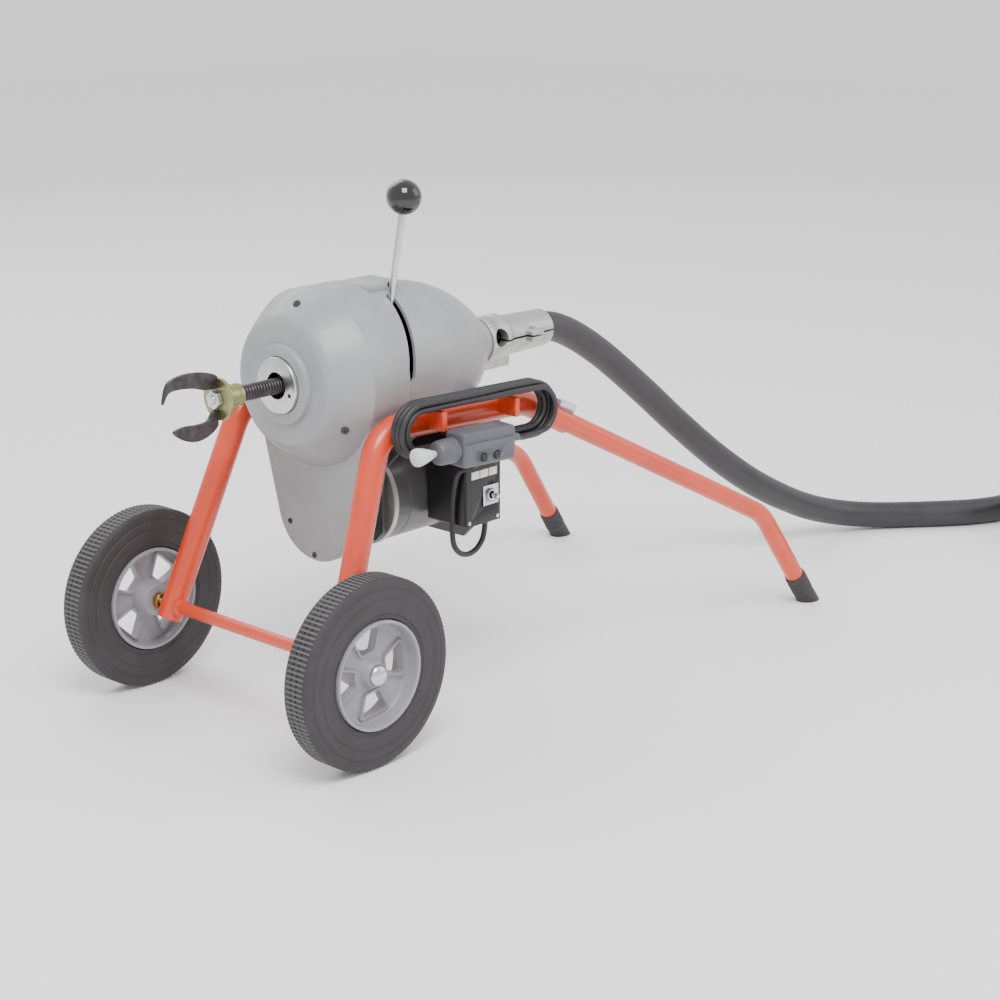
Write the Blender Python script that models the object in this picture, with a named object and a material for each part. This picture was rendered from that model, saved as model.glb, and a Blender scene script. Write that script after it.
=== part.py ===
"""Sectional drain cleaning machine on a two-wheeled tube frame.

Frame used while modelling: X runs from the cutter back to the hose, Y points to the far side, Z is up.
X = 0 is the wheel axle and Z = 0 is the floor. The last step moves everything so that the origin is
under the middle of the machine. Near means the -Y side, where the lever, switch and cord are.
"""
import math

import bmesh
import bpy
from mathutils import Matrix, Vector

MM = 0.001
GAP = 0.3 * MM              # air between solids that touch
ROUND = 24                  # sides of a large turned piece
SMALL_ROUND = 12            # sides of a small turned piece
HOUSING_SIDES = 32          # sides of the drum castings
RUNNING_FIT = 0.6 * MM      # radial air between a piece that turns and what it turns in
SLIDING_FIT = 0.4 * MM      # radial air of the cone on the spindle
COLLAR_AIR = 1 * MM         # the collar doesn't turn, so it stands clear of the spindle
SIDE_AIR = 2 * MM           # along the axle, between a tube of the frame and its neighbour
YOKE_AIR = 1 * MM           # between a yoke plate and the rail beside it
EXIT_AIR = 1 * MM           # between the turning spindle and the bell's rear opening
BOSS_CHAMFER = 2 * MM
GUARD_INSET = 1 * MM        # the guard's sides stand a little inside the drum's

# Wheels and axle
WHEEL_RADIUS = 127 * MM
WHEEL_TRACK = 445 * MM      # between the two tyre centres
TYRE_HALF_WIDTH = 22 * MM
RIM_RADIUS = 72 * MM
RIM_HALF_WIDTH = 23 * MM
RIM_WALL = 4 * MM
WEB_THICKNESS = 12 * MM
HUB_RADIUS = 17 * MM
HUB_INBOARD = 30 * MM
HUB_OUTBOARD = 18 * MM
WINDOW_COUNT = 4
WINDOW_INNER = 27 * MM
WINDOW_OUTER = 60 * MM
WINDOW_ANGLE = math.radians(42)
AXLE_RADIUS = 6.35 * MM
AXLE_CLEARANCE = 0.35 * MM
AXLE_TUBE_RADIUS = 9 * MM
CAP_RADIUS = 14.5 * MM
CAP_HEIGHT = 10 * MM
SPACER_RADIUS = 11 * MM

# Spindle line, belt drive and motor line
SPINDLE_Z = 451 * MM
SHAFT_DISTANCE = 181 * MM
MOTOR_Z = SPINDLE_Z - SHAFT_DISTANCE
BELT_X = 140 * MM           # middle of the V-belt
PULLEY_HALF_WIDTH = 11 * MM
BELT_HALF_WIDTH = 5 * MM
BELT_HALF_HEIGHT = 4 * MM
DRIVEN_PITCH = 85 * MM
MOTOR_PITCH = 35 * MM

# Frame tubes
TUBE_RADIUS = 17.5 * MM
TUBE_WALL = 2.5 * MM
RAIL_DROP = 48 * MM         # rail centre below the spindle line
RAIL_Z = SPINDLE_Z - RAIL_DROP
FOOT_OF_LEG_Y = 164 * MM    # front leg where the axle crosses it
TOP_OF_LEG_X = 114 * MM
TOP_OF_LEG_Y = 132 * MM
LEG_AXLE_OFFSET = 4 * MM    # the axle crosses the front leg a little ahead of its centre
LEG_TAIL = 19 * MM          # front leg below the axle
RAIL_END_X = 360 * MM
RAIL_END_Y = 161 * MM
FRONT_BEND = 55 * MM
REAR_BEND = 80 * MM
SOCKET_LENGTH = 83 * MM
HOOK_SPREAD = 62 * MM       # cord hooks each side of the hank's middle
HOOK_WIDTH = 8 * MM

# Rear legs
LEG_RADIUS = 14 * MM
LEG_WALL = 2 * MM
LEG_BEND_X = 806 * MM
LEG_BEND_Y = 246 * MM
LEG_BEND_Z = 163 * MM
LEG_BEND = 90 * MM
FOOT_X = 922 * MM
FOOT_Y = 257 * MM
LEG_INSERTED = 50 * MM
TIP_RADIUS = 16.5 * MM
TIP_LENGTH = 34 * MM
TIP_SOLE = 10 * MM

# Front cover and belt guard
WALL = 4 * MM
FACE_X = 69.5 * MM
FACE_RADIUS = 85 * MM
BOSS_RADIUS = 54 * MM
BOSS_HEIGHT = 7 * MM
DRUM_RADIUS = 121 * MM
SHOULDER_X = 120 * MM
COVER_END_X = 185 * MM
GUARD_FRONT_X = 118 * MM
GUARD_END_X = 168 * MM
GUARD_LOWER_RADIUS = 73.5 * MM

# Rear bell
BELL_RADIUS = 111 * MM
BELL_WALL = 5 * MM
BELL_TURN_X = 255 * MM      # where the bell starts to close
BELL_TAIL_X = 430 * MM
BELL_END_X = 440 * MM
TAIL_RADIUS = 32 * MM
PAD_HEIGHT = 7 * MM

# Spindle group
BORE_RADIUS = 17.5 * MM
SPINDLE_RADIUS = 27 * MM
SPINDLE_FRONT_RADIUS = 30 * MM
SPINDLE_REAR_RADIUS = 24.5 * MM
SPINDLE_END_X = 426 * MM
NOSE_RADIUS = 38 * MM
NOSE_X = 57 * MM
FRONT_BEARING_RADIUS = 45 * MM
FRONT_BEARING_X = 76 * MM
FRONT_BEARING_WIDTH = 20 * MM
REAR_BEARING_RADIUS = 36 * MM
REAR_BEARING_X = 404 * MM
REAR_BEARING_WIDTH = 18 * MM

# Clutch: jaws, cone, collar and lever ring
JAW_COUNT = 3
JAW_X = 160 * MM
JAW_LENGTH = 17 * MM
JAW_WIDTH = 13 * MM
JAW_INNER = 12.6 * MM
JAW_PROUD = 2.5 * MM
CONE_X = 179 * MM
CONE_RADIUS = 40 * MM
CONE_MOUTH_RADIUS = 34.4 * MM
CONE_THROAT_RADIUS = 30 * MM
CLUTCH_TRAVEL = 24 * MM
LEVER_X = 222 * MM
RING_HALF_WIDTH = 10 * MM
COLLAR_RADIUS = 44 * MM
RING_RADIUS = 56 * MM
EAR_RADIUS = 9 * MM
LEVER_SWING = math.radians(60)
LEVER_TILT = math.radians(10.9)   # lean of the rod towards the near side
LEVER_OFFSET = 29.3 * MM          # distance of the rod's line from the spindle line
LEVER_RADIUS = 4.5 * MM
LEVER_START = 42 * MM
EAR_START = 6 * MM          # the ring's ear, along the rod from its start
EAR_END = 26 * MM
KNOB_REACH = 246 * MM
KNOB_RADIUS = 23.5 * MM
SLOT_HALF_WIDTH = 6 * MM
SLOT_END = math.radians(4.5)      # slot past the rod at each end of the swing

# Cable, coupling and cutter
CABLE_RADIUS = 11 * MM
CABLE_FRONT_X = -25.7 * MM
CABLE_REAR_X = 505 * MM
COUPLING_RADIUS = 15 * MM
COUPLING_BACK_X = -6 * MM
DISC_RADIUS = 34 * MM
DISC_BACK_X = -36 * MM
DISC_THICKNESS = 6 * MM
BLADE_HALF_THICKNESS = 2.5 * MM
BOLT_RADIUS = 13.5 * MM
BOLT_LENGTH = 12 * MM

# Motor
MOTOR_RADIUS = 66 * MM
MOTOR_WALL = 5 * MM
MOTOR_FRONT_X = 214 * MM
MOTOR_END_X = 392 * MM
FLANGE_X = 205 * MM
FLANGE_RADIUS = 68 * MM
DOME_RADIUS = 44 * MM
DOME_X = 184 * MM
SHAFT_RADIUS = 8 * MM
ROTOR_RADIUS = 42 * MM

# Yoke plates that carry the drum and the motor between the rails
YOKE_THICKNESS = 6 * MM
FRONT_YOKE_X = FLANGE_X - YOKE_THICKNESS - GAP
REAR_YOKE_X = 345 * MM

# Hose adapter and hose
ADAPTER_COLLAR_RADIUS = 34 * MM
ADAPTER_COLLAR_LENGTH = 40 * MM
ADAPTER_END_X = 577 * MM
HOSE_RADIUS = 22 * MM
HOSE_START_X = 545 * MM
ADAPTER_WALL = 5 * MM
SIDE_HOLE_RADIUS = 13 * MM
SIDE_HOLE_X = 458 * MM
SPLIT_HALF_HEIGHT = 1.5 * MM

# Switch box, ground-fault unit and cord
BOX_X = 268 * MM
BOX_LENGTH = 68 * MM
BOX_DEPTH = 73.5 * MM
BOX_LOW_Z = 238 * MM
BOX_HEIGHT = 102 * MM
TOGGLE_X = 316 * MM
TOGGLE_Z = 277 * MM
TOGGLE_HOLE = 8 * MM
TOGGLE_WELL = 11 * MM
TOGGLE_PIVOT = 5 * MM       # pivot behind the box's face
TOGGLE_BALL = 5 * MM
TOGGLE_STEM = 2.8 * MM
TOGGLE_REACH = 22 * MM
CORD_RADIUS = 4 * MM
GLAND_RADIUS = 9 * MM
GLAND_X = 327 * MM
GLAND_Y = -120 * MM
GLAND_LENGTH = 20 * MM
GLAND_PROUD = 8 * MM
HANK_X = 246 * MM
HANK_Z = RAIL_Z + 1 * MM
HANK_LENGTH = 268 * MM
HANK_HEIGHT = 80 * MM
HANK_BAND = 18 * MM
HANK_DEPTH = 26 * MM
HANK_STANDOFF = 6 * MM      # between the rail and the wound cord
GFCI_LENGTH = 88 * MM
GFCI_DEPTH = 40 * MM
GFCI_HEIGHT = 46 * MM
GFCI_ALONG = -20 * MM       # box's middle from the hank's middle, along the rail
GFCI_UP = -24 * MM
BUTTON_PITCH = 22 * MM
BUTTON_RISE = -12 * MM
BUTTON_WELL = 7 * MM
BUTTON_PROUD = 2 * MM
PLUG_RADIUS = 17 * MM
PLUG_LENGTH = 32 * MM
COVER_CONE_RADIUS = 12 * MM
COVER_CONE_LENGTH = 34 * MM
BUTTON_RADIUS = 5 * MM

# Hose coil on the floor
COIL_RADIUS = 208 * MM      # middle of the turns, which lie one on the other
COIL_HALF_WIDTH = 22 * MM
COIL_HEIGHT = 89 * MM
COIL_X = 1560 * MM
COIL_Y = -518 * MM

FINISHES = {
    "frame_paint": ("D9452A", 0.35, 0.0),
    "casting_paint": ("9C9C9E", 0.45, 0.0),
    "bright_steel": ("D8D8D4", 0.25, 1.0),
    "cast_aluminium": ("C4C4BE", 0.4, 0.9),
    "zinc_plate": ("D2D2DC", 0.3, 0.9),
    "yellow_zinc": ("9A9468", 0.35, 0.9),
    "spring_steel": ("4D474B", 0.45, 0.8),
    "brass": ("B08D4A", 0.35, 0.9),
    "tyre_rubber": ("2B2829", 0.7, 0.0),
    "rim_plastic": ("8D8B90", 0.45, 0.0),
    "black_plastic": ("1B1B1D", 0.35, 0.0),
    "gloss_black": ("0E0E10", 0.08, 0.0),
    "grey_plastic": ("55555C", 0.45, 0.0),
    "pale_plastic": ("C9CBCC", 0.4, 0.0),
    "motor_paint": ("4D4B4C", 0.4, 0.2),
    "hose_rubber": ("2E2C2E", 0.5, 0.0),
    "cord_rubber": ("232326", 0.5, 0.0),
}


def linear(channel):
    """One sRGB channel, 0 to 1, as linear light."""
    return channel / 12.92 if channel <= 0.04045 else ((channel + 0.055) / 1.055) ** 2.4


def finish(name):
    """The Principled material of a named finish, made once."""
    if name in bpy.data.materials:
        return bpy.data.materials[name]
    code, roughness, metallic = FINISHES[name]
    colour = [linear(int(code[i:i + 2], 16) / 255) for i in (0, 2, 4)]
    material = bpy.data.materials.new(name)
    material.use_nodes = True
    shader = material.node_tree.nodes["Principled BSDF"]
    shader.inputs["Base Color"].default_value = (*colour, 1)
    shader.inputs["Roughness"].default_value = roughness
    shader.inputs["Metallic"].default_value = metallic
    return material


def add_object(name, bm, look, location=(0, 0, 0), rotation=(0, 0, 0)):
    """Turn a bmesh into a smooth-shaded object with its faces pointing out."""
    bmesh.ops.recalc_face_normals(bm, faces=bm.faces)
    mesh = bpy.data.meshes.new(name)
    bm.to_mesh(mesh)
    bm.free()
    mesh.shade_smooth()
    mesh.set_sharp_from_angle(angle=math.radians(35))
    mesh.materials.append(finish(look))
    made = bpy.data.objects.new(name, mesh)
    made.location = location
    made.rotation_euler = rotation
    bpy.context.collection.objects.link(made)
    return made


def lathe(name, profile, look, location=(0, 0, 0), rotation=(0, 0, 0), sides=ROUND):
    """Turn a closed (along, radius) profile about the local X axis."""
    bm = bmesh.new()
    rings = []
    for along, radius in profile:
        turns = [2 * math.pi * k / sides for k in range(sides if radius > 0 else 1)]
        rings.append([bm.verts.new((along, radius * math.sin(a), radius * math.cos(a))) for a in turns])
    for first, second in zip(rings, rings[1:] + rings[:1]):
        if len(first) == 1 and len(second) == 1:
            continue
        for k in range(sides):
            after = (k + 1) % sides
            corners = [first[k % len(first)], first[after % len(first)],
                       second[after % len(second)], second[k % len(second)]]
            bm.faces.new(list(dict.fromkeys(corners)))
    return add_object(name, bm, look, location, rotation)


def prism(name, outline, start, end, look, plane="YZ", location=(0, 0, 0), rotation=(0, 0, 0), hole=None):
    """Extrude an outline from start to end along the axis that its plane leaves out.

    A hole outline has as many points as the outline, in the same order.
    """
    axis = "XYZ".index(({"X", "Y", "Z"} - set(plane)).pop())

    def corner(point, along):
        values = list(point)
        values.insert(axis, along)
        return bm.verts.new(values)

    bm = bmesh.new()
    loops = [[corner(p, along) for p in outline] for along in (start, end)]
    count = len(outline)
    if hole is None:
        bm.faces.new(loops[0])
        bm.faces.new(loops[1])
        pairs = [(0, 1)]
    else:
        loops += [[corner(p, along) for p in hole] for along in (end, start)]
        pairs = [(0, 1), (1, 2), (2, 3), (3, 0)]
    for a, b in pairs:
        for k in range(count):
            after = (k + 1) % count
            bm.faces.new((loops[a][k], loops[a][after], loops[b][after], loops[b][k]))
    return add_object(name, bm, look, location, rotation)


def block(name, low, high, look, location=(0, 0, 0), rotation=(0, 0, 0)):
    """A box between two corners."""
    outline = [(low[1], low[2]), (high[1], low[2]), (high[1], high[2]), (low[1], high[2])]
    return prism(name, outline, low[0], high[0], look, "YZ", location, rotation)


def soften(target, width, segments=2):
    """Round every sharp edge a little."""
    bevel = target.modifiers.new("edges", "BEVEL")
    bevel.width = width
    bevel.segments = segments
    bevel.limit_method = "ANGLE"
    bevel.angle_limit = math.radians(40)


def boolean(target, tool, operation):
    """Cut or join a helper into the target; the helper itself isn't part of the machine."""
    step = target.modifiers.new(tool.name, "BOOLEAN")
    step.operation = operation
    step.object = tool
    tool.hide_render = True
    tool.display_type = "WIRE"


def cut(target, tool):
    boolean(target, tool, "DIFFERENCE")


def fuse(target, tool):
    boolean(target, tool, "UNION")


def rounded_path(corners, radii, steps=4):
    """Polyline through the corners with each inner corner replaced by an arc of its radius."""
    points = [Vector(corners[0])]
    for before, corner, after, radius in zip(corners, corners[1:], corners[2:], radii):
        corner = Vector(corner)
        inward = (Vector(before) - corner).normalized()
        outward = (Vector(after) - corner).normalized()
        half = inward.angle(outward) / 2
        middle = corner + (inward + outward).normalized() * (radius / math.sin(half))
        first = corner + inward * (radius / math.tan(half)) - middle
        last = corner + outward * (radius / math.tan(half)) - middle
        axis = first.cross(last).normalized()
        sweep_angle = first.angle(last)
        for k in range(steps + 1):
            points.append(middle + Matrix.Rotation(sweep_angle * k / steps, 3, axis) @ first)
    points.append(Vector(corners[-1]))
    return points


def sweep(name, points, outer, inner, look, sides=16, location=(0, 0, 0)):
    """A tube along the points; an inner radius of 0 makes a solid bar."""
    bm = bmesh.new()
    start = Vector(location)
    points = [Vector(p) - start for p in points]
    tangents = [(b - a).normalized() for a, b in zip(points, points[1:])]
    tangents = [tangents[0]] + [(a + b).normalized() for a, b in zip(tangents,
                                                                     tangents[1:])] + [tangents[-1]]
    side = tangents[0].orthogonal().normalized()
    shells = [[] for _ in range(2 if inner else 1)]
    for point, tangent in zip(points, tangents):
        side = (side - tangent * side.dot(tangent)).normalized()
        across = tangent.cross(side)
        for shell, radius in zip(shells, (outer, inner)):
            turns = [2 * math.pi * k / sides for k in range(sides)]
            ring = [point + side * (radius * math.cos(a)) + across * (radius * math.sin(a)) for a in turns]
            shell.append([bm.verts.new(p) for p in ring])
    for shell in shells:
        for first, second in zip(shell, shell[1:]):
            for k in range(sides):
                after = (k + 1) % sides
                bm.faces.new((first[k], first[after], second[after], second[k]))
    for end in (0, -1):
        if not inner:
            bm.faces.new(shells[0][end])
            continue
        for k in range(sides):
            after = (k + 1) % sides
            bm.faces.new((shells[0][end][k], shells[0][end][after], shells[1][end][after],
                          shells[1][end][k]))
    return add_object(name, bm, look, location)


def cord(name, route, radius, look, spacing, location=(0, 0, 0), resolution=2):
    """A cord tube: a poly curve through points read from a smooth curve through the route."""
    start = Vector(location)
    route = [Vector(p) for p in route]
    padded = [route[0] * 2 - route[1]] + route + [route[-1] * 2 - route[-2]]
    fine = []
    for p0, p1, p2, p3 in zip(padded, padded[1:], padded[2:], padded[3:]):
        for k in range(12):
            t = k / 12
            fine.append(0.5 * (2 * p1 + (p2 - p0) * t + (2 * p0 - 5 * p1 + 4 * p2 - p3) * t * t
                               + (3 * p1 - p0 - 3 * p2 + p3) * t ** 3))
    fine.append(route[-1])
    total = sum((b - a).length for a, b in zip(fine, fine[1:]))
    count = max(2, round(total / spacing))
    points = [fine[0]]
    walked = 0.0
    for a, b in zip(fine, fine[1:]):
        length = (b - a).length
        while len(points) < count and walked + length >= total * len(points) / count:
            part = (total * len(points) / count - walked) / length
            points.append(a.lerp(b, part))
        walked += length
    points.append(fine[-1])
    curve = bpy.data.curves.new(name, "CURVE")
    curve.dimensions = "3D"
    curve.resolution_u = 1
    curve.render_resolution_u = 0
    curve.bevel_depth = radius
    curve.bevel_resolution = resolution
    curve.use_fill_caps = True
    spline = curve.splines.new("POLY")
    spline.points.add(len(points) - 1)
    for slot, point in zip(spline.points, points):
        slot.co = (*(point - start), 1)
    curve.materials.append(finish(look))
    made = bpy.data.objects.new(name, curve)
    made.location = location
    bpy.context.collection.objects.link(made)
    return made


def near_far(point, side):
    """A near-side point, or its mirror image for the far side. Side is -1 for near and 1 for far."""
    return Vector((point[0], side * abs(point[1]), point[2]))


# ---------------------------------------------------------------- wheels and axle

def tyre(name, side):
    half = TYRE_HALF_WIDTH
    crown = WHEEL_RADIUS
    seat = RIM_RADIUS
    right = [(0.85 * half, seat), (half, seat + 0.4 * (crown - seat)), (0.93 * half,
                                                                        seat + 0.78 * (crown - seat)),
             (0.68 * half, seat + 0.95 * (crown - seat))]
    left = [(-along, radius) for along, radius in reversed(right)]
    lathe(name, right + [(0, crown)] + left, "tyre_rubber", (0, side * WHEEL_TRACK / 2, WHEEL_RADIUS),
          (0, 0, side * math.pi / 2))


def rim(name, side, turn):
    half = RIM_HALF_WIDTH
    outer = RIM_RADIUS - GAP
    inner = outer - RIM_WALL
    bore = AXLE_RADIUS + AXLE_CLEARANCE
    web = WEB_THICKNESS / 2
    profile = [(-HUB_INBOARD, bore), (-HUB_INBOARD, HUB_RADIUS), (-web, HUB_RADIUS), (-web, inner),
               (-half, inner), (-half, outer), (half, outer), (half, inner), (web, inner),
               (web, HUB_RADIUS), (HUB_OUTBOARD, HUB_RADIUS), (HUB_OUTBOARD, bore)]
    centre = (0, side * WHEEL_TRACK / 2, WHEEL_RADIUS)
    made = lathe(name, profile, "rim_plastic", centre, (0, 0, side * math.pi / 2))
    for k in range(WINDOW_COUNT):
        middle = turn + 2 * math.pi * k / WINDOW_COUNT
        steps = [middle + WINDOW_ANGLE * (j / 4 - 0.5) for j in range(5)]
        outline = [(WINDOW_OUTER * math.sin(a), WINDOW_OUTER * math.cos(a)) for a in steps]
        outline += [(WINDOW_INNER * math.sin(a), WINDOW_INNER * math.cos(a)) for a in reversed(steps)]
        tool = prism(f"void_{name}_{k}", outline, -WEB_THICKNESS, WEB_THICKNESS, "rim_plastic", "XZ",
                     centre)
        cut(made, tool)


def hub_cap(name, side):
    base = WHEEL_TRACK / 2 + HUB_OUTBOARD + GAP
    socket = AXLE_RADIUS + GAP / 2
    depth = 0.6 * CAP_HEIGHT
    profile = [(0, socket), (0, CAP_RADIUS), (0.35 * CAP_HEIGHT, CAP_RADIUS), (0.75 * CAP_HEIGHT,
                                                                               0.75 * CAP_RADIUS),
               (0.94 * CAP_HEIGHT, 0.4 * CAP_RADIUS), (CAP_HEIGHT, 0), (depth, 0), (depth, socket)]
    lathe(name, profile, "bright_steel", (0, side * base, WHEEL_RADIUS), (0, 0, side * math.pi / 2),
          SMALL_ROUND)


def spacer(name, side):
    hub = WHEEL_TRACK / 2 - HUB_INBOARD - GAP
    leg = FOOT_OF_LEG_Y + TUBE_RADIUS + SIDE_AIR
    bore = AXLE_RADIUS + AXLE_CLEARANCE
    profile = [(leg, bore), (leg, SPACER_RADIUS), (hub, SPACER_RADIUS), (hub, bore)]
    lathe(name, profile, "brass", (0, 0, WHEEL_RADIUS), (0, 0, side * math.pi / 2), SMALL_ROUND)


def axle():
    reach = WHEEL_TRACK / 2 + HUB_OUTBOARD + 0.5 * CAP_HEIGHT
    profile = [(-reach, 0), (-reach, AXLE_RADIUS), (reach, AXLE_RADIUS), (reach, 0)]
    lathe("axle_rod", profile, "bright_steel", (0, 0, WHEEL_RADIUS), (0, 0, math.pi / 2), SMALL_ROUND)
    reach = FOOT_OF_LEG_Y - TUBE_RADIUS - SIDE_AIR
    bore = AXLE_RADIUS + AXLE_CLEARANCE
    profile = [(-reach, bore), (-reach, AXLE_TUBE_RADIUS), (reach, AXLE_TUBE_RADIUS), (reach, bore)]
    lathe("axle_tube", profile, "frame_paint", (0, 0, WHEEL_RADIUS), (0, 0, math.pi / 2), SMALL_ROUND)


# ---------------------------------------------------------------- frame

def front_leg_point(height):
    """Centre of the near front leg at a height."""
    part = (height - WHEEL_RADIUS) / (RAIL_Z - WHEEL_RADIUS)
    return Vector((LEG_AXLE_OFFSET + (TOP_OF_LEG_X - LEG_AXLE_OFFSET) * part,
                   -(FOOT_OF_LEG_Y + (TOP_OF_LEG_Y - FOOT_OF_LEG_Y) * part), height))


def rail_direction():
    return Vector((RAIL_END_X - TOP_OF_LEG_X, -(RAIL_END_Y - TOP_OF_LEG_Y), 0)).normalized()


def rail_y(x):
    """Distance of either rail's centre from the middle plane."""
    return TOP_OF_LEG_Y + (x - TOP_OF_LEG_X) * (RAIL_END_Y - TOP_OF_LEG_Y) / (RAIL_END_X - TOP_OF_LEG_X)


def rear_leg_direction():
    bend = Vector((LEG_BEND_X, -LEG_BEND_Y, LEG_BEND_Z))
    return (bend - Vector((RAIL_END_X, -RAIL_END_Y, RAIL_Z))).normalized()


def socket_end():
    return Vector((RAIL_END_X, -RAIL_END_Y, RAIL_Z)) + rear_leg_direction() * SOCKET_LENGTH


def frame_tube(name, side):
    """Front leg, top bend, rail and the socket for the rear leg, in one bent tube."""
    corners = [front_leg_point(WHEEL_RADIUS - LEG_TAIL), front_leg_point(RAIL_Z),
               Vector((RAIL_END_X, -RAIL_END_Y, RAIL_Z)), socket_end()]
    points = rounded_path([near_far(p, side) for p in corners], (FRONT_BEND, REAR_BEND))
    made = sweep(name, points, TUBE_RADIUS, TUBE_RADIUS - TUBE_WALL, "frame_paint", 16)
    reach = FOOT_OF_LEG_Y + 2 * TUBE_RADIUS
    bore = AXLE_RADIUS + AXLE_CLEARANCE
    hole = lathe(f"void_{name}_axle", [(0, 0), (0, bore), (reach, bore), (reach, 0)], "frame_paint",
                 (0, 0, WHEEL_RADIUS), (0, 0, side * math.pi / 2), SMALL_ROUND)
    cut(made, hole)
    return made


def cord_hooks(tube):
    """Two flat hooks on the near rail that the wound cord hangs on."""
    middle = Vector((HANK_X, -rail_y(HANK_X), 0))
    top = HANK_Z + HANK_HEIGHT / 2 - HANK_BAND - GAP
    outer = TUBE_RADIUS + HANK_STANDOFF + HANK_DEPTH
    inner = TUBE_RADIUS - TUBE_WALL / 2
    for k, along in enumerate((-HOOK_SPREAD, HOOK_SPREAD)):
        low = (along - HOOK_WIDTH / 2, -outer, RAIL_Z - 4 * MM)
        high = (along + HOOK_WIDTH / 2, -inner, top)
        fuse(tube, block(f"joined_hook_{k}", low, high, "frame_paint", middle, (0, 0, hank_turn())))


def yoke(name, x, drum_radius, hole_radius, lower_half_width, lower_z):
    """Plate between the rails: the drum lies in its round top and the motor hangs in its hole."""
    top = RAIL_Z + 8 * MM
    rail_side = rail_y(x) - TUBE_RADIUS - YOKE_AIR
    outline = [(-rail_side, top), (-rail_side, RAIL_Z - 16 * MM), (-lower_half_width,
                                                                   MOTOR_Z + 0.7 * MOTOR_RADIUS),
               (-lower_half_width, lower_z + 14 * MM), (-lower_half_width + 14 * MM, lower_z),
               (lower_half_width - 14 * MM, lower_z), (lower_half_width, lower_z + 14 * MM),
               (lower_half_width, MOTOR_Z + 0.7 * MOTOR_RADIUS), (rail_side,
                                                                  RAIL_Z - 16 * MM), (rail_side, top)]
    made = prism(name, outline, x, x + YOKE_THICKNESS, "black_plastic")
    for label, radius, height, sides in (("drum", drum_radius, SPINDLE_Z, HOUSING_SIDES),
                                         ("motor", hole_radius, MOTOR_Z, ROUND)):
        profile = [(x - 5 * MM, 0), (x - 5 * MM, radius), (x + YOKE_THICKNESS + 5 * MM, radius),
                   (x + YOKE_THICKNESS + 5 * MM, 0)]
        cut(made, lathe(f"void_{name}_{label}", profile, "black_plastic", (0, 0, height), sides=sides))


def leg_clamp(name, side):
    """Saddle bolted over the top of the socket, which locks the rear leg."""
    length = 30 * MM
    direction = near_far(rear_leg_direction(), side)
    direction.z = rear_leg_direction().z
    centre = near_far(socket_end(), side) - direction * (0.55 * length)
    rotation = direction.to_track_quat("X", "Z").to_euler()
    width = 0.8 * TUBE_RADIUS
    made = block(name, (-length / 2, -width, 0.5 * TUBE_RADIUS), (length / 2, width, TUBE_RADIUS + 8 * MM),
                 "zinc_plate", centre, rotation)
    saddle = TUBE_RADIUS + GAP
    tool = lathe(f"void_{name}", [(-length, 0), (-length, saddle), (length, saddle), (length, 0)],
                 "zinc_plate", centre, rotation)
    cut(made, tool)
    soften(made, 1.5 * MM)


def foot_point(side):
    """Where the rear leg's centre line meets the floor."""
    return Vector((FOOT_X, side * FOOT_Y, 0))


def rear_leg(name, side):
    lower = near_far((LEG_BEND_X, LEG_BEND_Y, LEG_BEND_Z), side)
    down = (foot_point(side) - lower).normalized()
    start = near_far(socket_end() - rear_leg_direction() * LEG_INSERTED, side)
    start.z = (socket_end() - rear_leg_direction() * LEG_INSERTED).z
    end = foot_point(side) - down * (TIP_SOLE / abs(down.z) + LEG_RADIUS)
    points = rounded_path([start, lower, end], (LEG_BEND,))
    sweep(name, points, LEG_RADIUS, LEG_RADIUS - LEG_WALL, "frame_paint", 12, near_far(socket_end(), side))


def foot_tip(name, side):
    """Rubber cap on the end of a rear leg, cut flat where it stands on the floor."""
    lower = near_far((LEG_BEND_X, LEG_BEND_Y, LEG_BEND_Z), side)
    down = (foot_point(side) - lower).normalized()
    leg_end = TIP_SOLE / abs(down.z) + LEG_RADIUS - GAP
    profile = [(-TIP_LENGTH - leg_end, LEG_RADIUS + GAP), (-TIP_LENGTH - leg_end, TIP_RADIUS), (40 * MM,
                                                                                                TIP_RADIUS),
               (40 * MM, 0), (-leg_end, 0), (-leg_end, LEG_RADIUS + GAP)]
    rotation = down.to_track_quat("X", "Z").to_euler()
    made = lathe(name, profile, "tyre_rubber", foot_point(side), rotation, 24)
    reach = 0.2
    floor = block(f"void_{name}", (-reach, -reach, -reach), (reach, reach, 0), "tyre_rubber",
                  foot_point(side))
    cut(made, floor)


# ---------------------------------------------------------------- housing

def loop_outline(upper, lower, steps=10):
    """Outline round two circles, one on the spindle line and one on the motor line, and their tangents."""
    lean = math.asin((lower - upper) / SHAFT_DISTANCE)
    outline = []
    for radius, height, first, last in ((upper, SPINDLE_Z, lean, math.pi - lean),
                                        (lower, MOTOR_Z, math.pi - lean, 2 * math.pi + lean)):
        for k in range(steps + 1):
            angle = first + (last - first) * k / steps
            outline.append((radius * math.cos(angle), height + radius * math.sin(angle)))
    return outline


def shoulder(x, inset):
    """Radius of the cover's cone at x, less an inset."""
    part = (x - FACE_X) / (SHOULDER_X - FACE_X)
    return FACE_RADIUS + (DRUM_RADIUS - FACE_RADIUS) * part ** 0.8 - inset


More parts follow.
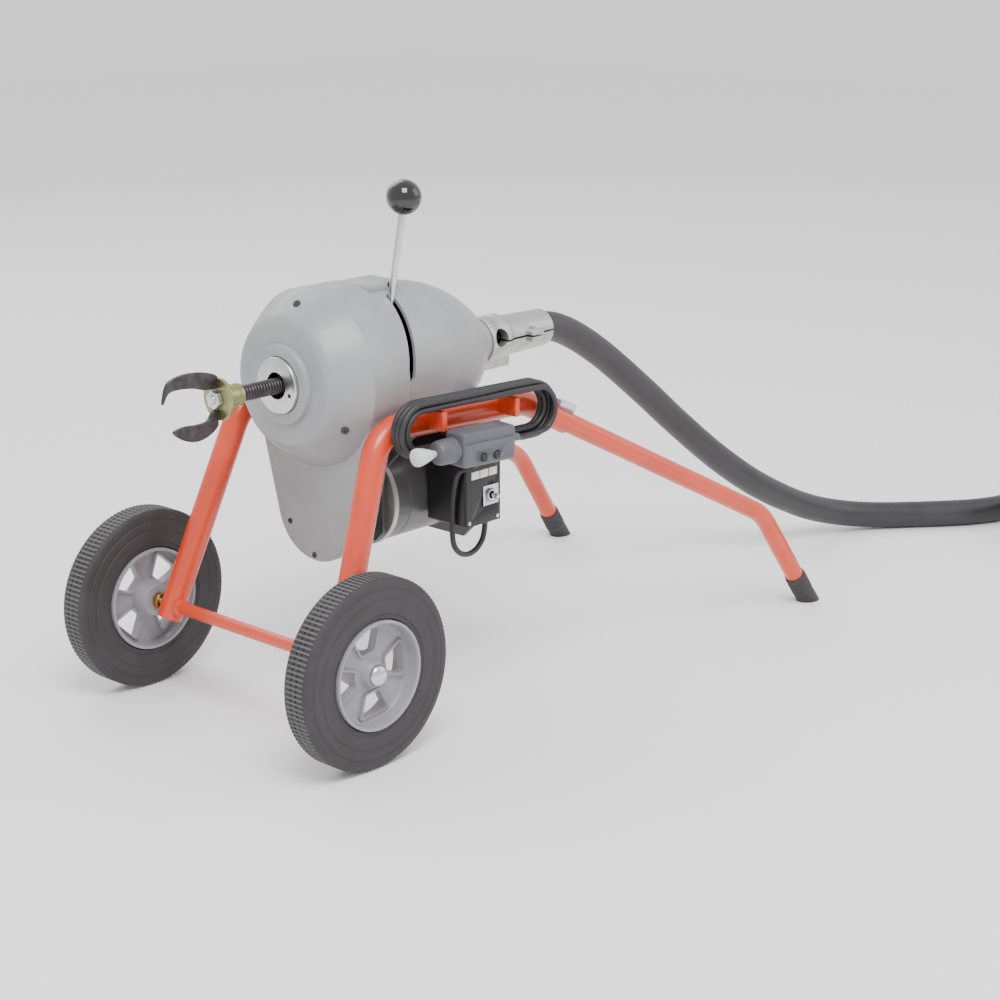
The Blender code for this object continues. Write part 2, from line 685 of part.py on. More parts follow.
def front_cover():
    """Cast cover over the front of the drum, in one piece with the belt guard below it."""
    face = FACE_X - BOSS_HEIGHT
    cone = [(FACE_X + (SHOULDER_X - FACE_X) * k / 4, shoulder(FACE_X + (SHOULDER_X - FACE_X) * k / 4, 0))
            for k in range(5)]
    outer = [(face, 0), (face, BOSS_RADIUS - BOSS_CHAMFER), (face + BOSS_CHAMFER, BOSS_RADIUS), (FACE_X,
                                                                                                 BOSS_RADIUS)]
    outer += cone + [(COVER_END_X, DRUM_RADIUS), (COVER_END_X, 0)]
    made = lathe("front_cover", outer, "casting_paint", (0, 0, SPINDLE_Z), sides=HOUSING_SIDES)
    guard = prism("joined_guard", loop_outline(DRUM_RADIUS - GUARD_INSET, GUARD_LOWER_RADIUS),
                  GUARD_FRONT_X, GUARD_END_X,
                  "casting_paint")
    fuse(made, guard)
    seat = FRONT_BEARING_RADIUS + GAP
    hub = seat + 6 * MM
    hub_end = FRONT_BEARING_X + FRONT_BEARING_WIDTH
    inside = FACE_X + WALL
    cavity = [(inside, hub), (inside, FACE_RADIUS - WALL)]
    cavity += [(x + WALL * 0.5, radius - WALL) for x, radius in cone[1:]]
    cavity += [(COVER_END_X + 5 * MM, DRUM_RADIUS - WALL), (COVER_END_X + 5 * MM, 0), (hub_end, 0),
               (hub_end, hub)]
    cut(made, lathe("void_cover_cavity", cavity, "casting_paint", (0, 0, SPINDLE_Z), sides=HOUSING_SIDES))
    belt_room = loop_outline(DRUM_RADIUS - GUARD_INSET - WALL, GUARD_LOWER_RADIUS - WALL)
    cut(made, prism("void_guard_cavity", belt_room, GUARD_FRONT_X + WALL, GUARD_END_X + 5 * MM,
                    "casting_paint"))
    mouth = NOSE_RADIUS + RUNNING_FIT
    bore = [(face - 5 * MM, 0), (face - 5 * MM, mouth), (FRONT_BEARING_X, mouth), (FRONT_BEARING_X, seat),
            (hub_end + 5 * MM, seat), (hub_end + 5 * MM, 0)]
    cut(made, lathe("void_cover_bore", bore, "casting_paint", (0, 0, SPINDLE_Z)))


def bell_radius(x):
    """Outer radius of the rear bell: a cylinder that closes along a smooth curve to its tail."""
    if x <= BELL_TURN_X:
        return BELL_RADIUS
    length = BELL_TAIL_X - BELL_TURN_X
    points = ((0, BELL_RADIUS), (0.43 * length, BELL_RADIUS), (0.73 * length, 0.72 * BELL_RADIUS),
              (length, TAIL_RADIUS))
    low, high = 0.0, 1.0
    for _ in range(30):
        t = (low + high) / 2
        weights = ((1 - t) ** 3, 3 * t * (1 - t) ** 2, 3 * t * t * (1 - t), t ** 3)
        along = sum(w * p[0] for w, p in zip(weights, points))
        low, high = (t, high) if along < x - BELL_TURN_X else (low, t)
    return sum(w * p[1] for w, p in zip(weights, points))


def lever_line(along, swing=0.0):
    """(Y, Z) offset from the spindle line of a point on the lever rod's line, at a swing angle."""
    y = -LEVER_OFFSET * math.cos(LEVER_TILT) - along * math.sin(LEVER_TILT)
    z = -LEVER_OFFSET * math.sin(LEVER_TILT) + along * math.cos(LEVER_TILT)
    return y * math.cos(swing) - z * math.sin(swing), y * math.sin(swing) + z * math.cos(swing)


def lever_angle():
    """Angle from straight up, towards the near side, where the rod at rest crosses the bell."""
    y, z = lever_line(math.sqrt(BELL_RADIUS ** 2 - LEVER_OFFSET ** 2))
    return math.atan2(-y, z)


def lever_slot():
    """Cutter for the helical slot that the rod swings in while it moves the clutch forward."""
    first = lever_angle() - SLOT_END
    last = lever_angle() + LEVER_SWING + SLOT_END
    radii = (BELL_RADIUS - 3 * BELL_WALL, BELL_RADIUS + 4 * BELL_WALL)
    round_end = SLOT_HALF_WIDTH / BELL_RADIUS
    steps = [first, first + 0.12 * round_end, first + 0.45 * round_end, first + round_end]
    steps += [first + round_end + (last - first - 2 * round_end) * k / 8 for k in range(1, 8)]
    steps += [last - round_end, last - 0.45 * round_end, last - 0.12 * round_end, last]
    bm = bmesh.new()
    rows = []
    for angle in steps:
        depth = min(angle - first, last - angle, round_end) / round_end
        half = SLOT_HALF_WIDTH * max(0.25, math.sqrt(1 - (1 - depth) ** 2))
        middle = LEVER_X - CLUTCH_TRAVEL * (angle - lever_angle()) / LEVER_SWING
        corners = [(middle - half, radii[0]), (middle + half, radii[0]), (middle + half, radii[1]),
                   (middle - half, radii[1])]
        rows.append([bm.verts.new((x, -radius * math.sin(angle), radius * math.cos(angle))) for x,
                     radius in corners])
    for before, after in zip(rows, rows[1:]):
        for k in range(4):
            nxt = (k + 1) % 4
            bm.faces.new((before[k], before[nxt], after[nxt], after[k]))
    bm.faces.new(rows[0])
    bm.faces.new(rows[-1])
    return add_object("void_lever_slot", bm, "casting_paint", (0, 0, SPINDLE_Z))


def rear_bell():
    """Cast drum body that closes to the rear bearing."""
    start = COVER_END_X + GAP
    steps = [BELL_TURN_X + (BELL_TAIL_X - BELL_TURN_X) * k / 7 for k in range(8)]
    outer = [(x, bell_radius(x)) for x in steps]
    seat_start = REAR_BEARING_X - 4 * MM
    inner = [(x, bell_radius(x) - BELL_WALL) for x in steps if x < seat_start - 20 * MM]
    seat = REAR_BEARING_RADIUS + GAP
    seat_end = REAR_BEARING_X + REAR_BEARING_WIDTH
    exit_radius = SPINDLE_REAR_RADIUS + EXIT_AIR
    profile = [(start, BELL_RADIUS - BELL_WALL), (start, BELL_RADIUS)] + outer + [(BELL_END_X, TAIL_RADIUS)]
    profile += [(BELL_END_X, exit_radius), (seat_end, exit_radius), (seat_end, seat),
                (seat_start - 12 * MM, seat)]
    profile += list(reversed(inner))
    made = lathe("rear_bell", profile, "casting_paint", (0, 0, SPINDLE_Z), sides=HOUSING_SIDES)
    low = (192 * MM, -30 * MM, BELL_RADIUS - 0.8 * BELL_WALL)
    high = (258 * MM, 26 * MM, BELL_RADIUS + PAD_HEIGHT)
    pad = block("joined_pad", low, high, "casting_paint", (0, 0, SPINDLE_Z))
    core = lathe("void_pad_core", [(180 * MM, 0), (180 * MM, BELL_RADIUS - BELL_WALL + 1 * MM),
                                     (270 * MM, BELL_RADIUS - BELL_WALL + 1 * MM), (270 * MM, 0)],
                 "casting_paint", (0, 0, SPINDLE_Z), sides=HOUSING_SIDES)
    cut(pad, core)
    fuse(made, pad)
    cut(made, lever_slot())


# ---------------------------------------------------------------- spindle, clutch and lever

def spindle():
    front = FRONT_BEARING_X
    step = front + FRONT_BEARING_WIDTH + 22 * MM
    rear = REAR_BEARING_X
    profile = [(front, BORE_RADIUS), (front, SPINDLE_FRONT_RADIUS), (step, SPINDLE_FRONT_RADIUS),
               (step, SPINDLE_RADIUS), (rear, SPINDLE_RADIUS), (rear, SPINDLE_REAR_RADIUS),
               (SPINDLE_END_X, SPINDLE_REAR_RADIUS), (SPINDLE_END_X, BORE_RADIUS)]
    made = lathe("spindle_tube", profile, "bright_steel", (0, 0, SPINDLE_Z))
    for k in range(JAW_COUNT):
        low = (JAW_X - GAP, -JAW_WIDTH / 2 - GAP, JAW_INNER - 2 * MM)
        high = (JAW_X + JAW_LENGTH + GAP, JAW_WIDTH / 2 + GAP, SPINDLE_FRONT_RADIUS + 10 * MM)
        cut(made, block(f"void_jaw_slot_{k}", low, high, "bright_steel", (0, 0, SPINDLE_Z), (jaw_turn(k),
                                                                                             0, 0)))


def jaw_turn(k):
    return 2 * math.pi * k / JAW_COUNT


def jaw(k):
    low = (JAW_X, -JAW_WIDTH / 2, JAW_INNER)
    high = (JAW_X + JAW_LENGTH, JAW_WIDTH / 2, SPINDLE_RADIUS + JAW_PROUD)
    block(f"jaw_{k + 1}", low, high, "spring_steel", (0, 0, SPINDLE_Z), (jaw_turn(k), 0, 0))


def chuck_nose():
    """Bright disc with the cable's mouth at the very front of the spindle."""
    back = FRONT_BEARING_X - GAP
    profile = [(NOSE_X, BORE_RADIUS), (NOSE_X, NOSE_RADIUS - 1.5 * MM), (NOSE_X + 1.5 * MM, NOSE_RADIUS),
               (back, NOSE_RADIUS), (back, BORE_RADIUS)]
    made = lathe("chuck_nose", profile, "bright_steel", (0, 0, SPINDLE_Z))
    screw_hole = 3 * MM
    reach = (BORE_RADIUS + NOSE_RADIUS) / 2
    hole = lathe("void_nose_screw", [(NOSE_X - 5 * MM, 0), (NOSE_X - 5 * MM, screw_hole),
                                       (NOSE_X + 8 * MM, screw_hole), (NOSE_X + 8 * MM, 0)], "bright_steel",
                 (0, -reach * math.cos(math.radians(20)),
                  SPINDLE_Z - reach * math.sin(math.radians(20))), sides=12)
    cut(made, hole)


def bearing(name, x, width, outer, inner):
    profile = [(x + GAP, inner + RUNNING_FIT), (x + GAP, outer), (x + width - GAP, outer),
               (x + width - GAP, inner + RUNNING_FIT)]
    lathe(name, profile, "bright_steel", (0, 0, SPINDLE_Z))


def pulley(name, pitch, bore, height):
    """V-belt pulley with its groove in the belt's plane."""
    rim_radius = pitch + BELT_HALF_HEIGHT + 1 * MM
    groove = pitch - BELT_HALF_HEIGHT - 3 * MM
    mouth = BELT_HALF_WIDTH + 2.5 * MM
    bottom = BELT_HALF_WIDTH + 0.8 * MM
    half = PULLEY_HALF_WIDTH
    profile = [(BELT_X - half, bore), (BELT_X - half, rim_radius), (BELT_X - mouth, rim_radius),
               (BELT_X - bottom, groove), (BELT_X + bottom, groove), (BELT_X + mouth, rim_radius),
               (BELT_X + half, rim_radius), (BELT_X + half, bore)]
    lathe(name, profile, "cast_aluminium", (0, 0, height))


def drive_belt():
    outer = loop_outline(DRIVEN_PITCH + BELT_HALF_HEIGHT, MOTOR_PITCH + BELT_HALF_HEIGHT)
    inner = loop_outline(DRIVEN_PITCH - BELT_HALF_HEIGHT, MOTOR_PITCH - BELT_HALF_HEIGHT)
    prism("drive_belt", outer, BELT_X - BELT_HALF_WIDTH, BELT_X + BELT_HALF_WIDTH, "tyre_rubber",
          hole=inner)


def clutch():
    """Cone that turns with the spindle, collar that pushes it, and the ring that the lever turns."""
    slide = SPINDLE_RADIUS + SLIDING_FIT
    back = LEVER_X - RING_HALF_WIDTH
    cone = [(CONE_X, CONE_MOUTH_RADIUS), (CONE_X, CONE_RADIUS), (back - GAP, CONE_RADIUS), (back - GAP,
                                                                                            slide),
            (CONE_X + CLUTCH_TRAVEL, slide), (CONE_X + CLUTCH_TRAVEL, CONE_THROAT_RADIUS)]
    lathe("thrust_cone", cone, "bright_steel", (0, 0, SPINDLE_Z))
    ring = LEVER_X + RING_HALF_WIDTH
    collar = [(back, slide + COLLAR_AIR), (back, COLLAR_RADIUS), (ring, COLLAR_RADIUS), (ring,
                                                                                         slide + COLLAR_AIR)]
    lathe("thrust_collar", collar, "bright_steel", (0, 0, SPINDLE_Z))
    inner = COLLAR_RADIUS + RUNNING_FIT
    profile = [(back, inner), (back, RING_RADIUS), (ring, RING_RADIUS), (ring, inner)]
    made = lathe("lever_ring", profile, "spring_steel", (0, 0, SPINDLE_Z))
    # The ear stands on the ring along the rod's line
    ear = along_lever("joined_ear", EAR_RADIUS, LEVER_START + EAR_START, LEVER_START + EAR_END,
                      "spring_steel")
    fuse(made, ear)
    hole = along_lever("void_ear", LEVER_RADIUS + GAP, LEVER_START - GAP, LEVER_START + 2 * EAR_END,
                       "spring_steel")
    cut(made, hole)


def along_lever(name, radius, start, end, look, sides=SMALL_ROUND):
    """A bar on the lever rod's line between two distances along it."""
    profile = [(start, 0), (start, radius), (end, radius), (end, 0)]
    return on_lever(name, profile, look, sides)


def on_lever(name, profile, look, sides=SMALL_ROUND):
    """A turned piece whose axis is the lever rod's line; its origin is on the spindle line."""
    y, z = lever_line(0)
    direction = Vector((0, -math.sin(LEVER_TILT), math.cos(LEVER_TILT)))
    made = lathe(name, profile, look, sides=sides)
    turn = direction.to_track_quat("X", "Z").to_matrix().to_4x4()
    made.data.transform(Matrix.Translation((0, y, z)) @ turn)
    made.location = (LEVER_X, 0, SPINDLE_Z)
    return made


def lever():
    rod_end = KNOB_REACH - 0.35 * KNOB_RADIUS
    along_lever("lever_rod", LEVER_RADIUS, LEVER_START, rod_end, "bright_steel")
    socket = LEVER_RADIUS + GAP
    first = math.asin(socket / KNOB_RADIUS)
    steps = [first + (math.pi - first) * k / 9 for k in range(10)]
    ball = [(KNOB_REACH - KNOB_RADIUS * math.cos(a), KNOB_RADIUS * math.sin(a)) for a in steps[:-1]]
    profile = ball + [(KNOB_REACH + KNOB_RADIUS, 0), (rod_end + GAP, 0), (rod_end + GAP, socket)]
    on_lever("lever_knob", profile, "gloss_black", 20)


# ---------------------------------------------------------------- cable and cutter

def cable_group():
    profile = [(CABLE_FRONT_X, 0), (CABLE_FRONT_X, CABLE_RADIUS), (CABLE_REAR_X, CABLE_RADIUS),
               (CABLE_REAR_X, 0)]
    lathe("cable_section", profile, "spring_steel", (0, 0, SPINDLE_Z), sides=SMALL_ROUND)
    socket = CABLE_RADIUS + GAP
    face = DISC_BACK_X - DISC_THICKNESS
    profile = [(COUPLING_BACK_X, socket), (COUPLING_BACK_X, COUPLING_RADIUS), (DISC_BACK_X,
                                                                               COUPLING_RADIUS),
               (DISC_BACK_X, DISC_RADIUS), (face, DISC_RADIUS), (face, 0), (CABLE_FRONT_X - GAP, 0),
               (CABLE_FRONT_X - GAP, socket)]
    lathe("cutter_coupling", profile, "yellow_zinc", (0, 0, SPINDLE_Z), sides=24)
    bolt_face = face - GAP
    profile = [(bolt_face, 0), (bolt_face, BOLT_RADIUS), (bolt_face - BOLT_LENGTH, BOLT_RADIUS * 0.92),
               (bolt_face - BOLT_LENGTH, 0)]
    lathe("cutter_bolt", profile, "zinc_plate", (0, 0, SPINDLE_Z), sides=24)


def smooth_outline(corners, steps=4):
    """Closed outline through the corners, rounded with a Catmull-Rom curve."""
    count = len(corners)
    outline = []
    for k in range(count):
        p0, p1, p2, p3 = (Vector(corners[(k + j - 1) % count]) for j in range(4))
        for j in range(steps):
            t = j / steps
            point = 0.5 * (2 * p1 + (p2 - p0) * t + (2 * p0 - 5 * p1 + 4 * p2 - p3) * t * t
                           + (3 * p1 - p0 - 3 * p2 + p3) * t ** 3)
            outline.append(tuple(point))
    return outline


def blades():
    """Two flat claw blades that stand on the coupling's disc and reach forward past each other."""
    root = DISC_BACK_X - DISC_THICKNESS - GAP
    upper = [(0, 15), (0, 30), (-20, 38), (-48, 41), (-70, 38), (-82, 30), (-88, 8), (-80, 20), (-66, 23),
             (-42, 21), (-24, 16), (-14, 15)]
    lower = [(0, -15), (0, -33), (-14, -44), (-34, -49), (-56, -44), (-73, -31), (-58, -26), (-36, -27),
             (-18, -25), (-9, -15)]
    for name, corners in (("upper_blade", upper), ("lower_blade", lower)):
        flat = [(root + x * MM, z * MM) for x, z in corners]
        outline = [p if p[0] < root else (root, p[1]) for p in smooth_outline(flat, 3)]
        prism(name, outline, -BLADE_HALF_THICKNESS, BLADE_HALF_THICKNESS, "spring_steel", "XZ", (0, 0,
                                                                                                 SPINDLE_Z))


# ---------------------------------------------------------------- motor

def motor():
    inner = MOTOR_RADIUS - MOTOR_WALL
    bore = SHAFT_RADIUS + GAP
    wall_x = MOTOR_END_X - 8 * MM
    shell = [(MOTOR_FRONT_X, inner), (MOTOR_FRONT_X, MOTOR_RADIUS), (MOTOR_END_X - 6 * MM, MOTOR_RADIUS),
             (MOTOR_END_X, MOTOR_RADIUS - 8 * MM), (MOTOR_END_X, bore), (wall_x, bore), (wall_x, inner)]
    lathe("motor_shell", shell, "motor_paint", (0, 0, MOTOR_Z))
    back = MOTOR_FRONT_X - GAP
    bell = [(DOME_X, bore), (DOME_X, 0.6 * DOME_RADIUS), (DOME_X + 6 * MM, DOME_RADIUS), (FLANGE_X,
                                                                                          DOME_RADIUS),
            (FLANGE_X, FLANGE_RADIUS), (back, FLANGE_RADIUS), (back, bore)]
    lathe("motor_front_bell", bell, "cast_aluminium", (0, 0, MOTOR_Z))
    start = BELT_X - PULLEY_HALF_WIDTH - 4 * MM
    end = MOTOR_END_X - 2 * MM
    rotor = [(start, 0), (start, SHAFT_RADIUS), (MOTOR_FRONT_X + 25 * MM, SHAFT_RADIUS),
             (MOTOR_FRONT_X + 25 * MM, ROTOR_RADIUS), (wall_x - 25 * MM, ROTOR_RADIUS),
             (wall_x - 25 * MM, SHAFT_RADIUS), (end, SHAFT_RADIUS), (end, 0)]
    lathe("motor_shaft", rotor, "bright_steel", (0, 0, MOTOR_Z), sides=24)


# ---------------------------------------------------------------- hose adapter and hose

def hose_adapter():
    """Split cast sleeve that clamps the hose behind the rear bell."""
    start = BELL_END_X + GAP
    collar_end = start + ADAPTER_COLLAR_LENGTH
    throat = BORE_RADIUS + 2.5 * MM
    socket = HOSE_RADIUS + GAP
    sleeve = socket + ADAPTER_WALL
    stop = HOSE_START_X - GAP
    profile = [(start, throat), (start, ADAPTER_COLLAR_RADIUS), (collar_end, ADAPTER_COLLAR_RADIUS),
               (collar_end + 8 * MM, sleeve + 2 * MM), (ADAPTER_END_X - 4 * MM, sleeve), (ADAPTER_END_X,
                                                                                          sleeve - 2 * MM),
               (ADAPTER_END_X, socket), (stop, socket), (stop, throat)]
    made = lathe("hose_adapter", profile, "cast_aluminium", (0, 0, SPINDLE_Z))
    ears = block("joined_ears", (collar_end + 36 * MM, -sleeve - 12 * MM, -9 * MM),
                 (collar_end + 62 * MM, -socket - 1 * MM, 9 * MM), "cast_aluminium", (0, 0, SPINDLE_Z))
    fuse(made, ears)
    tab = block("joined_tab", (start + 4 * MM, -9 * MM, -ADAPTER_COLLAR_RADIUS - 10 * MM),
                (collar_end + 20 * MM, 9 * MM, -throat - 4 * MM), "cast_aluminium", (0, 0, SPINDLE_Z))
    fuse(made, tab)
    hole = lathe("void_side_hole", [(0, 0), (0, SIDE_HOLE_RADIUS), (0.1, SIDE_HOLE_RADIUS), (0.1, 0)],
                 "cast_aluminium", (SIDE_HOLE_X, 0, SPINDLE_Z + 6 * MM), (0, 0, -math.pi / 2), 24)
    cut(made, hole)
    split = block("void_split", (SIDE_HOLE_X, -0.1, -SPLIT_HALF_HEIGHT), (ADAPTER_END_X + 0.02, 0,
                                                                          SPLIT_HALF_HEIGHT),
                  "cast_aluminium", (0, 0, SPINDLE_Z))
    cut(made, split)


def hose():
    """Rear guide hose: from the adapter down to the floor, then to the coil beyond it."""
    floor = HOSE_RADIUS + GAP
    route = [(HOSE_START_X, 0, SPINDLE_Z), (590 * MM, 0, SPINDLE_Z - 0.5 * MM), (640 * MM, -1 * MM,
                                                                                 433 * MM),
             (710 * MM, -4 * MM, 391 * MM), (798 * MM, -12 * MM, 323 * MM), (886 * MM, -25 * MM, 248 * MM),
             (972 * MM, -42 * MM, 178 * MM), (1063 * MM, -58 * MM, 117 * MM), (1170 * MM, -70 * MM,
                                                                               64 * MM),
             (1256 * MM, -88 * MM, 35 * MM), (1330 * MM, -132 * MM, 23.5 * MM), (1421 * MM, -208 * MM,
                                                                                 floor),
             (1465 * MM, -238 * MM, floor), (1507 * MM, -256 * MM, floor)]
    route.append((COIL_X, COIL_Y + COIL_RADIUS + COIL_HALF_WIDTH + HOSE_RADIUS + GAP, floor))
    return route


def hose_and_coil():
    cord("guide_hose", hose(), HOSE_RADIUS, "hose_rubber", 42 * MM, (HOSE_START_X, 0, SPINDLE_Z), 2)
    inner = COIL_RADIUS - COIL_HALF_WIDTH
    outer = COIL_RADIUS + COIL_HALF_WIDTH
    profile = [(GAP, inner), (GAP, outer), (COIL_HEIGHT, outer), (COIL_HEIGHT, inner)]
    lathe("hose_coil", profile, "hose_rubber", (COIL_X, COIL_Y, 0), (0, -math.pi / 2, 0))


# ---------------------------------------------------------------- switch box and cord

def switch_box():
    front = -(MOTOR_RADIUS + GAP + BOX_DEPTH)
    back = -(MOTOR_RADIUS + GAP)
    made = block("switch_box", (BOX_X, front, BOX_LOW_Z), (BOX_X + BOX_LENGTH, back,
                                                           BOX_LOW_Z + BOX_HEIGHT),
                 "black_plastic")
    facing = (0, 0, -math.pi / 2)
    pocket = [(-TOGGLE_WELL, 0), (-TOGGLE_WELL, TOGGLE_HOLE), (5 * MM, TOGGLE_HOLE), (5 * MM, 0)]
    cut(made, lathe("void_toggle_well", pocket, "black_plastic", (TOGGLE_X, front, TOGGLE_Z), facing))
    hole = GLAND_RADIUS + GAP
    gland_top = GLAND_LENGTH - GLAND_PROUD + GAP
    bore = [(-5 * MM, 0), (-5 * MM, hole), (gland_top, hole), (gland_top, 0)]
    cut(made, lathe("void_gland_hole", bore, "black_plastic", (GLAND_X, GLAND_Y, BOX_LOW_Z), (0,
                                                                                              -math.pi / 2, 0)))
    bat = [(-TOGGLE_BALL, 0), (-0.7 * TOGGLE_BALL, 0.7 * TOGGLE_BALL), (0, TOGGLE_BALL),
           (0.8 * TOGGLE_BALL, TOGGLE_STEM),
           (TOGGLE_REACH - 6 * MM, 1.3 * TOGGLE_STEM), (TOGGLE_REACH - 1 * MM,
                                                        1.2 * TOGGLE_STEM), (TOGGLE_REACH, 0)]
    lathe("switch_toggle", bat, "black_plastic", (TOGGLE_X, front + TOGGLE_PIVOT, TOGGLE_Z), facing,
          SMALL_ROUND)
    low = BOX_LOW_Z - GLAND_PROUD
    gland = [(0, 0), (0, CORD_RADIUS + 1.5 * MM), (GLAND_PROUD - 2 * MM, GLAND_RADIUS), (GLAND_LENGTH,
                                                                                         GLAND_RADIUS),
             (GLAND_LENGTH, 0)]
    lathe("cord_gland", gland, "black_plastic", (GLAND_X, GLAND_Y, low), (0, -math.pi / 2, 0), SMALL_ROUND)


def hank_point(along, up, out=0.0):
    """A point in the hank's plane, which is parallel to the near rail; out is towards the near side."""
    direction = rail_direction()
    outward = Vector((direction.y, -direction.x, 0))
    base = Vector((HANK_X, -rail_y(HANK_X), HANK_Z))
    offset = TUBE_RADIUS + HANK_STANDOFF + HANK_DEPTH / 2
    return base + direction * along + outward * (offset + out) + Vector((0, 0, up))


def hank_turn():
    return math.atan2(rail_direction().y, rail_direction().x)


def gfci_centre():
    return hank_point(GFCI_ALONG, GFCI_UP, HANK_DEPTH / 2 + 1 * MM + GFCI_DEPTH / 2)


def racetrack(length, height, steps=8):
    """Closed outline with two round ends."""
    radius = height / 2
    centre = length / 2 - radius
    outline = []
    for side, first in ((1, -math.pi / 2), (-1, math.pi / 2)):
        for k in range(steps + 1):
            angle = first + math.pi * k / steps
            outline.append((side * centre + radius * math.cos(angle), radius * math.sin(angle)))
    return outline


def cord_group():
    low = BOX_LOW_Z - GLAND_PROUD - GAP
    bend = 32 * MM
    middle = GLAND_X - bend
    route = [(GLAND_X, GLAND_Y, low), (GLAND_X, GLAND_Y, low - 6 * MM)]
    for k in range(1, 7):
        angle = math.pi * k / 6
        route.append((middle + bend * math.cos(angle), GLAND_Y, low - 6 * MM - bend * math.sin(angle)))
    hank_bottom = hank_point(4 * MM, -HANK_HEIGHT / 2 - GAP)
    route += [(262 * MM, -121 * MM, 256 * MM), (260.5 * MM, -125 * MM, 288 * MM), (257 * MM, -138 * MM,
                                                                                   319 * MM),
              tuple(hank_bottom - Vector((0, 0, 20 * MM))), tuple(hank_bottom - Vector((0, 0, 10 * MM))),
              tuple(hank_bottom)]
    cord("cord_lead", route, CORD_RADIUS, "cord_rubber", 9 * MM, (GLAND_X, GLAND_Y, low))
    outer = racetrack(HANK_LENGTH, HANK_HEIGHT)
    inner = racetrack(HANK_LENGTH - 2 * HANK_BAND, HANK_HEIGHT - 2 * HANK_BAND)
    prism("cord_hank", outer, -HANK_DEPTH / 2, HANK_DEPTH / 2, "cord_rubber", "XZ", hank_point(0, 0),
          (0, 0, hank_turn()), inner)
    radius = (HANK_HEIGHT - HANK_BAND) / 2
    centre = HANK_LENGTH / 2 - HANK_HEIGHT / 2
    out = HANK_DEPTH / 2 + GAP + CORD_RADIUS
    tail = [hank_point(centre - 40 * MM, radius, out), hank_point(centre - 20 * MM, radius, out)]
    for k in range(7):
        angle = math.pi / 2 - math.pi * k / 6
        tail.append(hank_point(centre + radius * math.cos(angle), radius * math.sin(angle), out))
    exit_along = GFCI_ALONG + GFCI_LENGTH / 2 + GAP
    level = HANK_DEPTH / 2 + 1 * MM + GFCI_DEPTH / 2
    entry = hank_point(exit_along, GFCI_UP, level)
    tail += [hank_point(exit_along + 40 * MM, GFCI_UP - 8 * MM, out + 4 * MM),
             hank_point(exit_along + 24 * MM, GFCI_UP - 3 * MM, level - 4 * MM),
             hank_point(exit_along + 12 * MM, GFCI_UP, level), entry]
    cord("cord_tail", tail, CORD_RADIUS, "cord_rubber", 9 * MM, tuple(entry))


def ground_fault_unit():
    """In-line ground-fault box with its plug on the end and two press buttons on its near face."""
    half = (GFCI_LENGTH / 2, GFCI_DEPTH / 2, GFCI_HEIGHT / 2)
    centre = gfci_centre()
    turned = (0, 0, hank_turn())
    made = block("gfci_box", (-half[0], -half[1], -half[2]), half, "grey_plastic", centre, turned)
    soften(made, 4 * MM)
    stub = [(-half[0] - PLUG_LENGTH, 0), (-half[0] - PLUG_LENGTH, PLUG_RADIUS - 2 * MM),
            (-half[0] - PLUG_LENGTH + 3 * MM, PLUG_RADIUS), (-half[0] + 6 * MM,
                                                             PLUG_RADIUS), (-half[0] + 6 * MM, 0)]
    fuse(made, lathe("joined_plug", stub, "grey_plastic", centre, turned, 24))
    well = BUTTON_RADIUS + GAP
    facing = (0, 0, hank_turn() - math.pi / 2)
    for k, name in enumerate(("gfci_test_button", "gfci_reset_button")):
        offset = Matrix.Rotation(hank_turn(), 3, "Z") @ Vector(((k - 0.5) * BUTTON_PITCH, -half[1], 0))
        place = centre + offset + Vector((0, 0, BUTTON_RISE))
        hole = lathe(f"void_{name}", [(-BUTTON_WELL, 0), (-BUTTON_WELL, well), (5 * MM, well), (5 * MM, 0)],
                     "grey_plastic", place, facing, SMALL_ROUND)
        cut(made, hole)
        stem = [(-BUTTON_WELL / 2, 0), (-BUTTON_WELL / 2, BUTTON_RADIUS), (BUTTON_PROUD, BUTTON_RADIUS),
                (BUTTON_PROUD, 0)]
        lathe(name, stem, "black_plastic", place, facing, SMALL_ROUND)
    back = -half[0] - PLUG_LENGTH - GAP
    cone = [(back, 0), (back, 0.35 * COVER_CONE_RADIUS), (back - 0.75 * COVER_CONE_LENGTH,
                                                          COVER_CONE_RADIUS),
            (back - COVER_CONE_LENGTH, 0.85 * COVER_CONE_RADIUS), (back - COVER_CONE_LENGTH, 0)]
    lathe("plug_cover", cone, "pale_plastic", centre, turned, 24)


# ---------------------------------------------------------------- assembly

CORD_NODES = {"cord_gland", "cord_lead", "cord_hank", "cord_tail", "gfci_box", "gfci_test_button",
              "gfci_reset_button", "plug_cover", "guide_hose", "hose_coil"}


def move_origin_under_machine():
    """Shift everything so that the origin is at the middle of the machine's footprint, cords left out."""
    bpy.context.view_layer.update()
    graph = bpy.context.evaluated_depsgraph_get()
    corners = []
    for item in bpy.context.collection.objects:
        if item.hide_render or item.name in CORD_NODES:
            continue
        solid = item.evaluated_get(graph).to_mesh()
        corners += [item.matrix_world @ vertex.co for vertex in solid.vertices]
    low = Vector([min(c[k] for c in corners) for k in range(3)])
    high = Vector([max(c[k] for c in corners) for k in range(3)])
    shift = Vector(((low.x + high.x) / 2, (low.y + high.y) / 2, low.z))
    for item in bpy.context.collection.objects:
        item.location -= shift


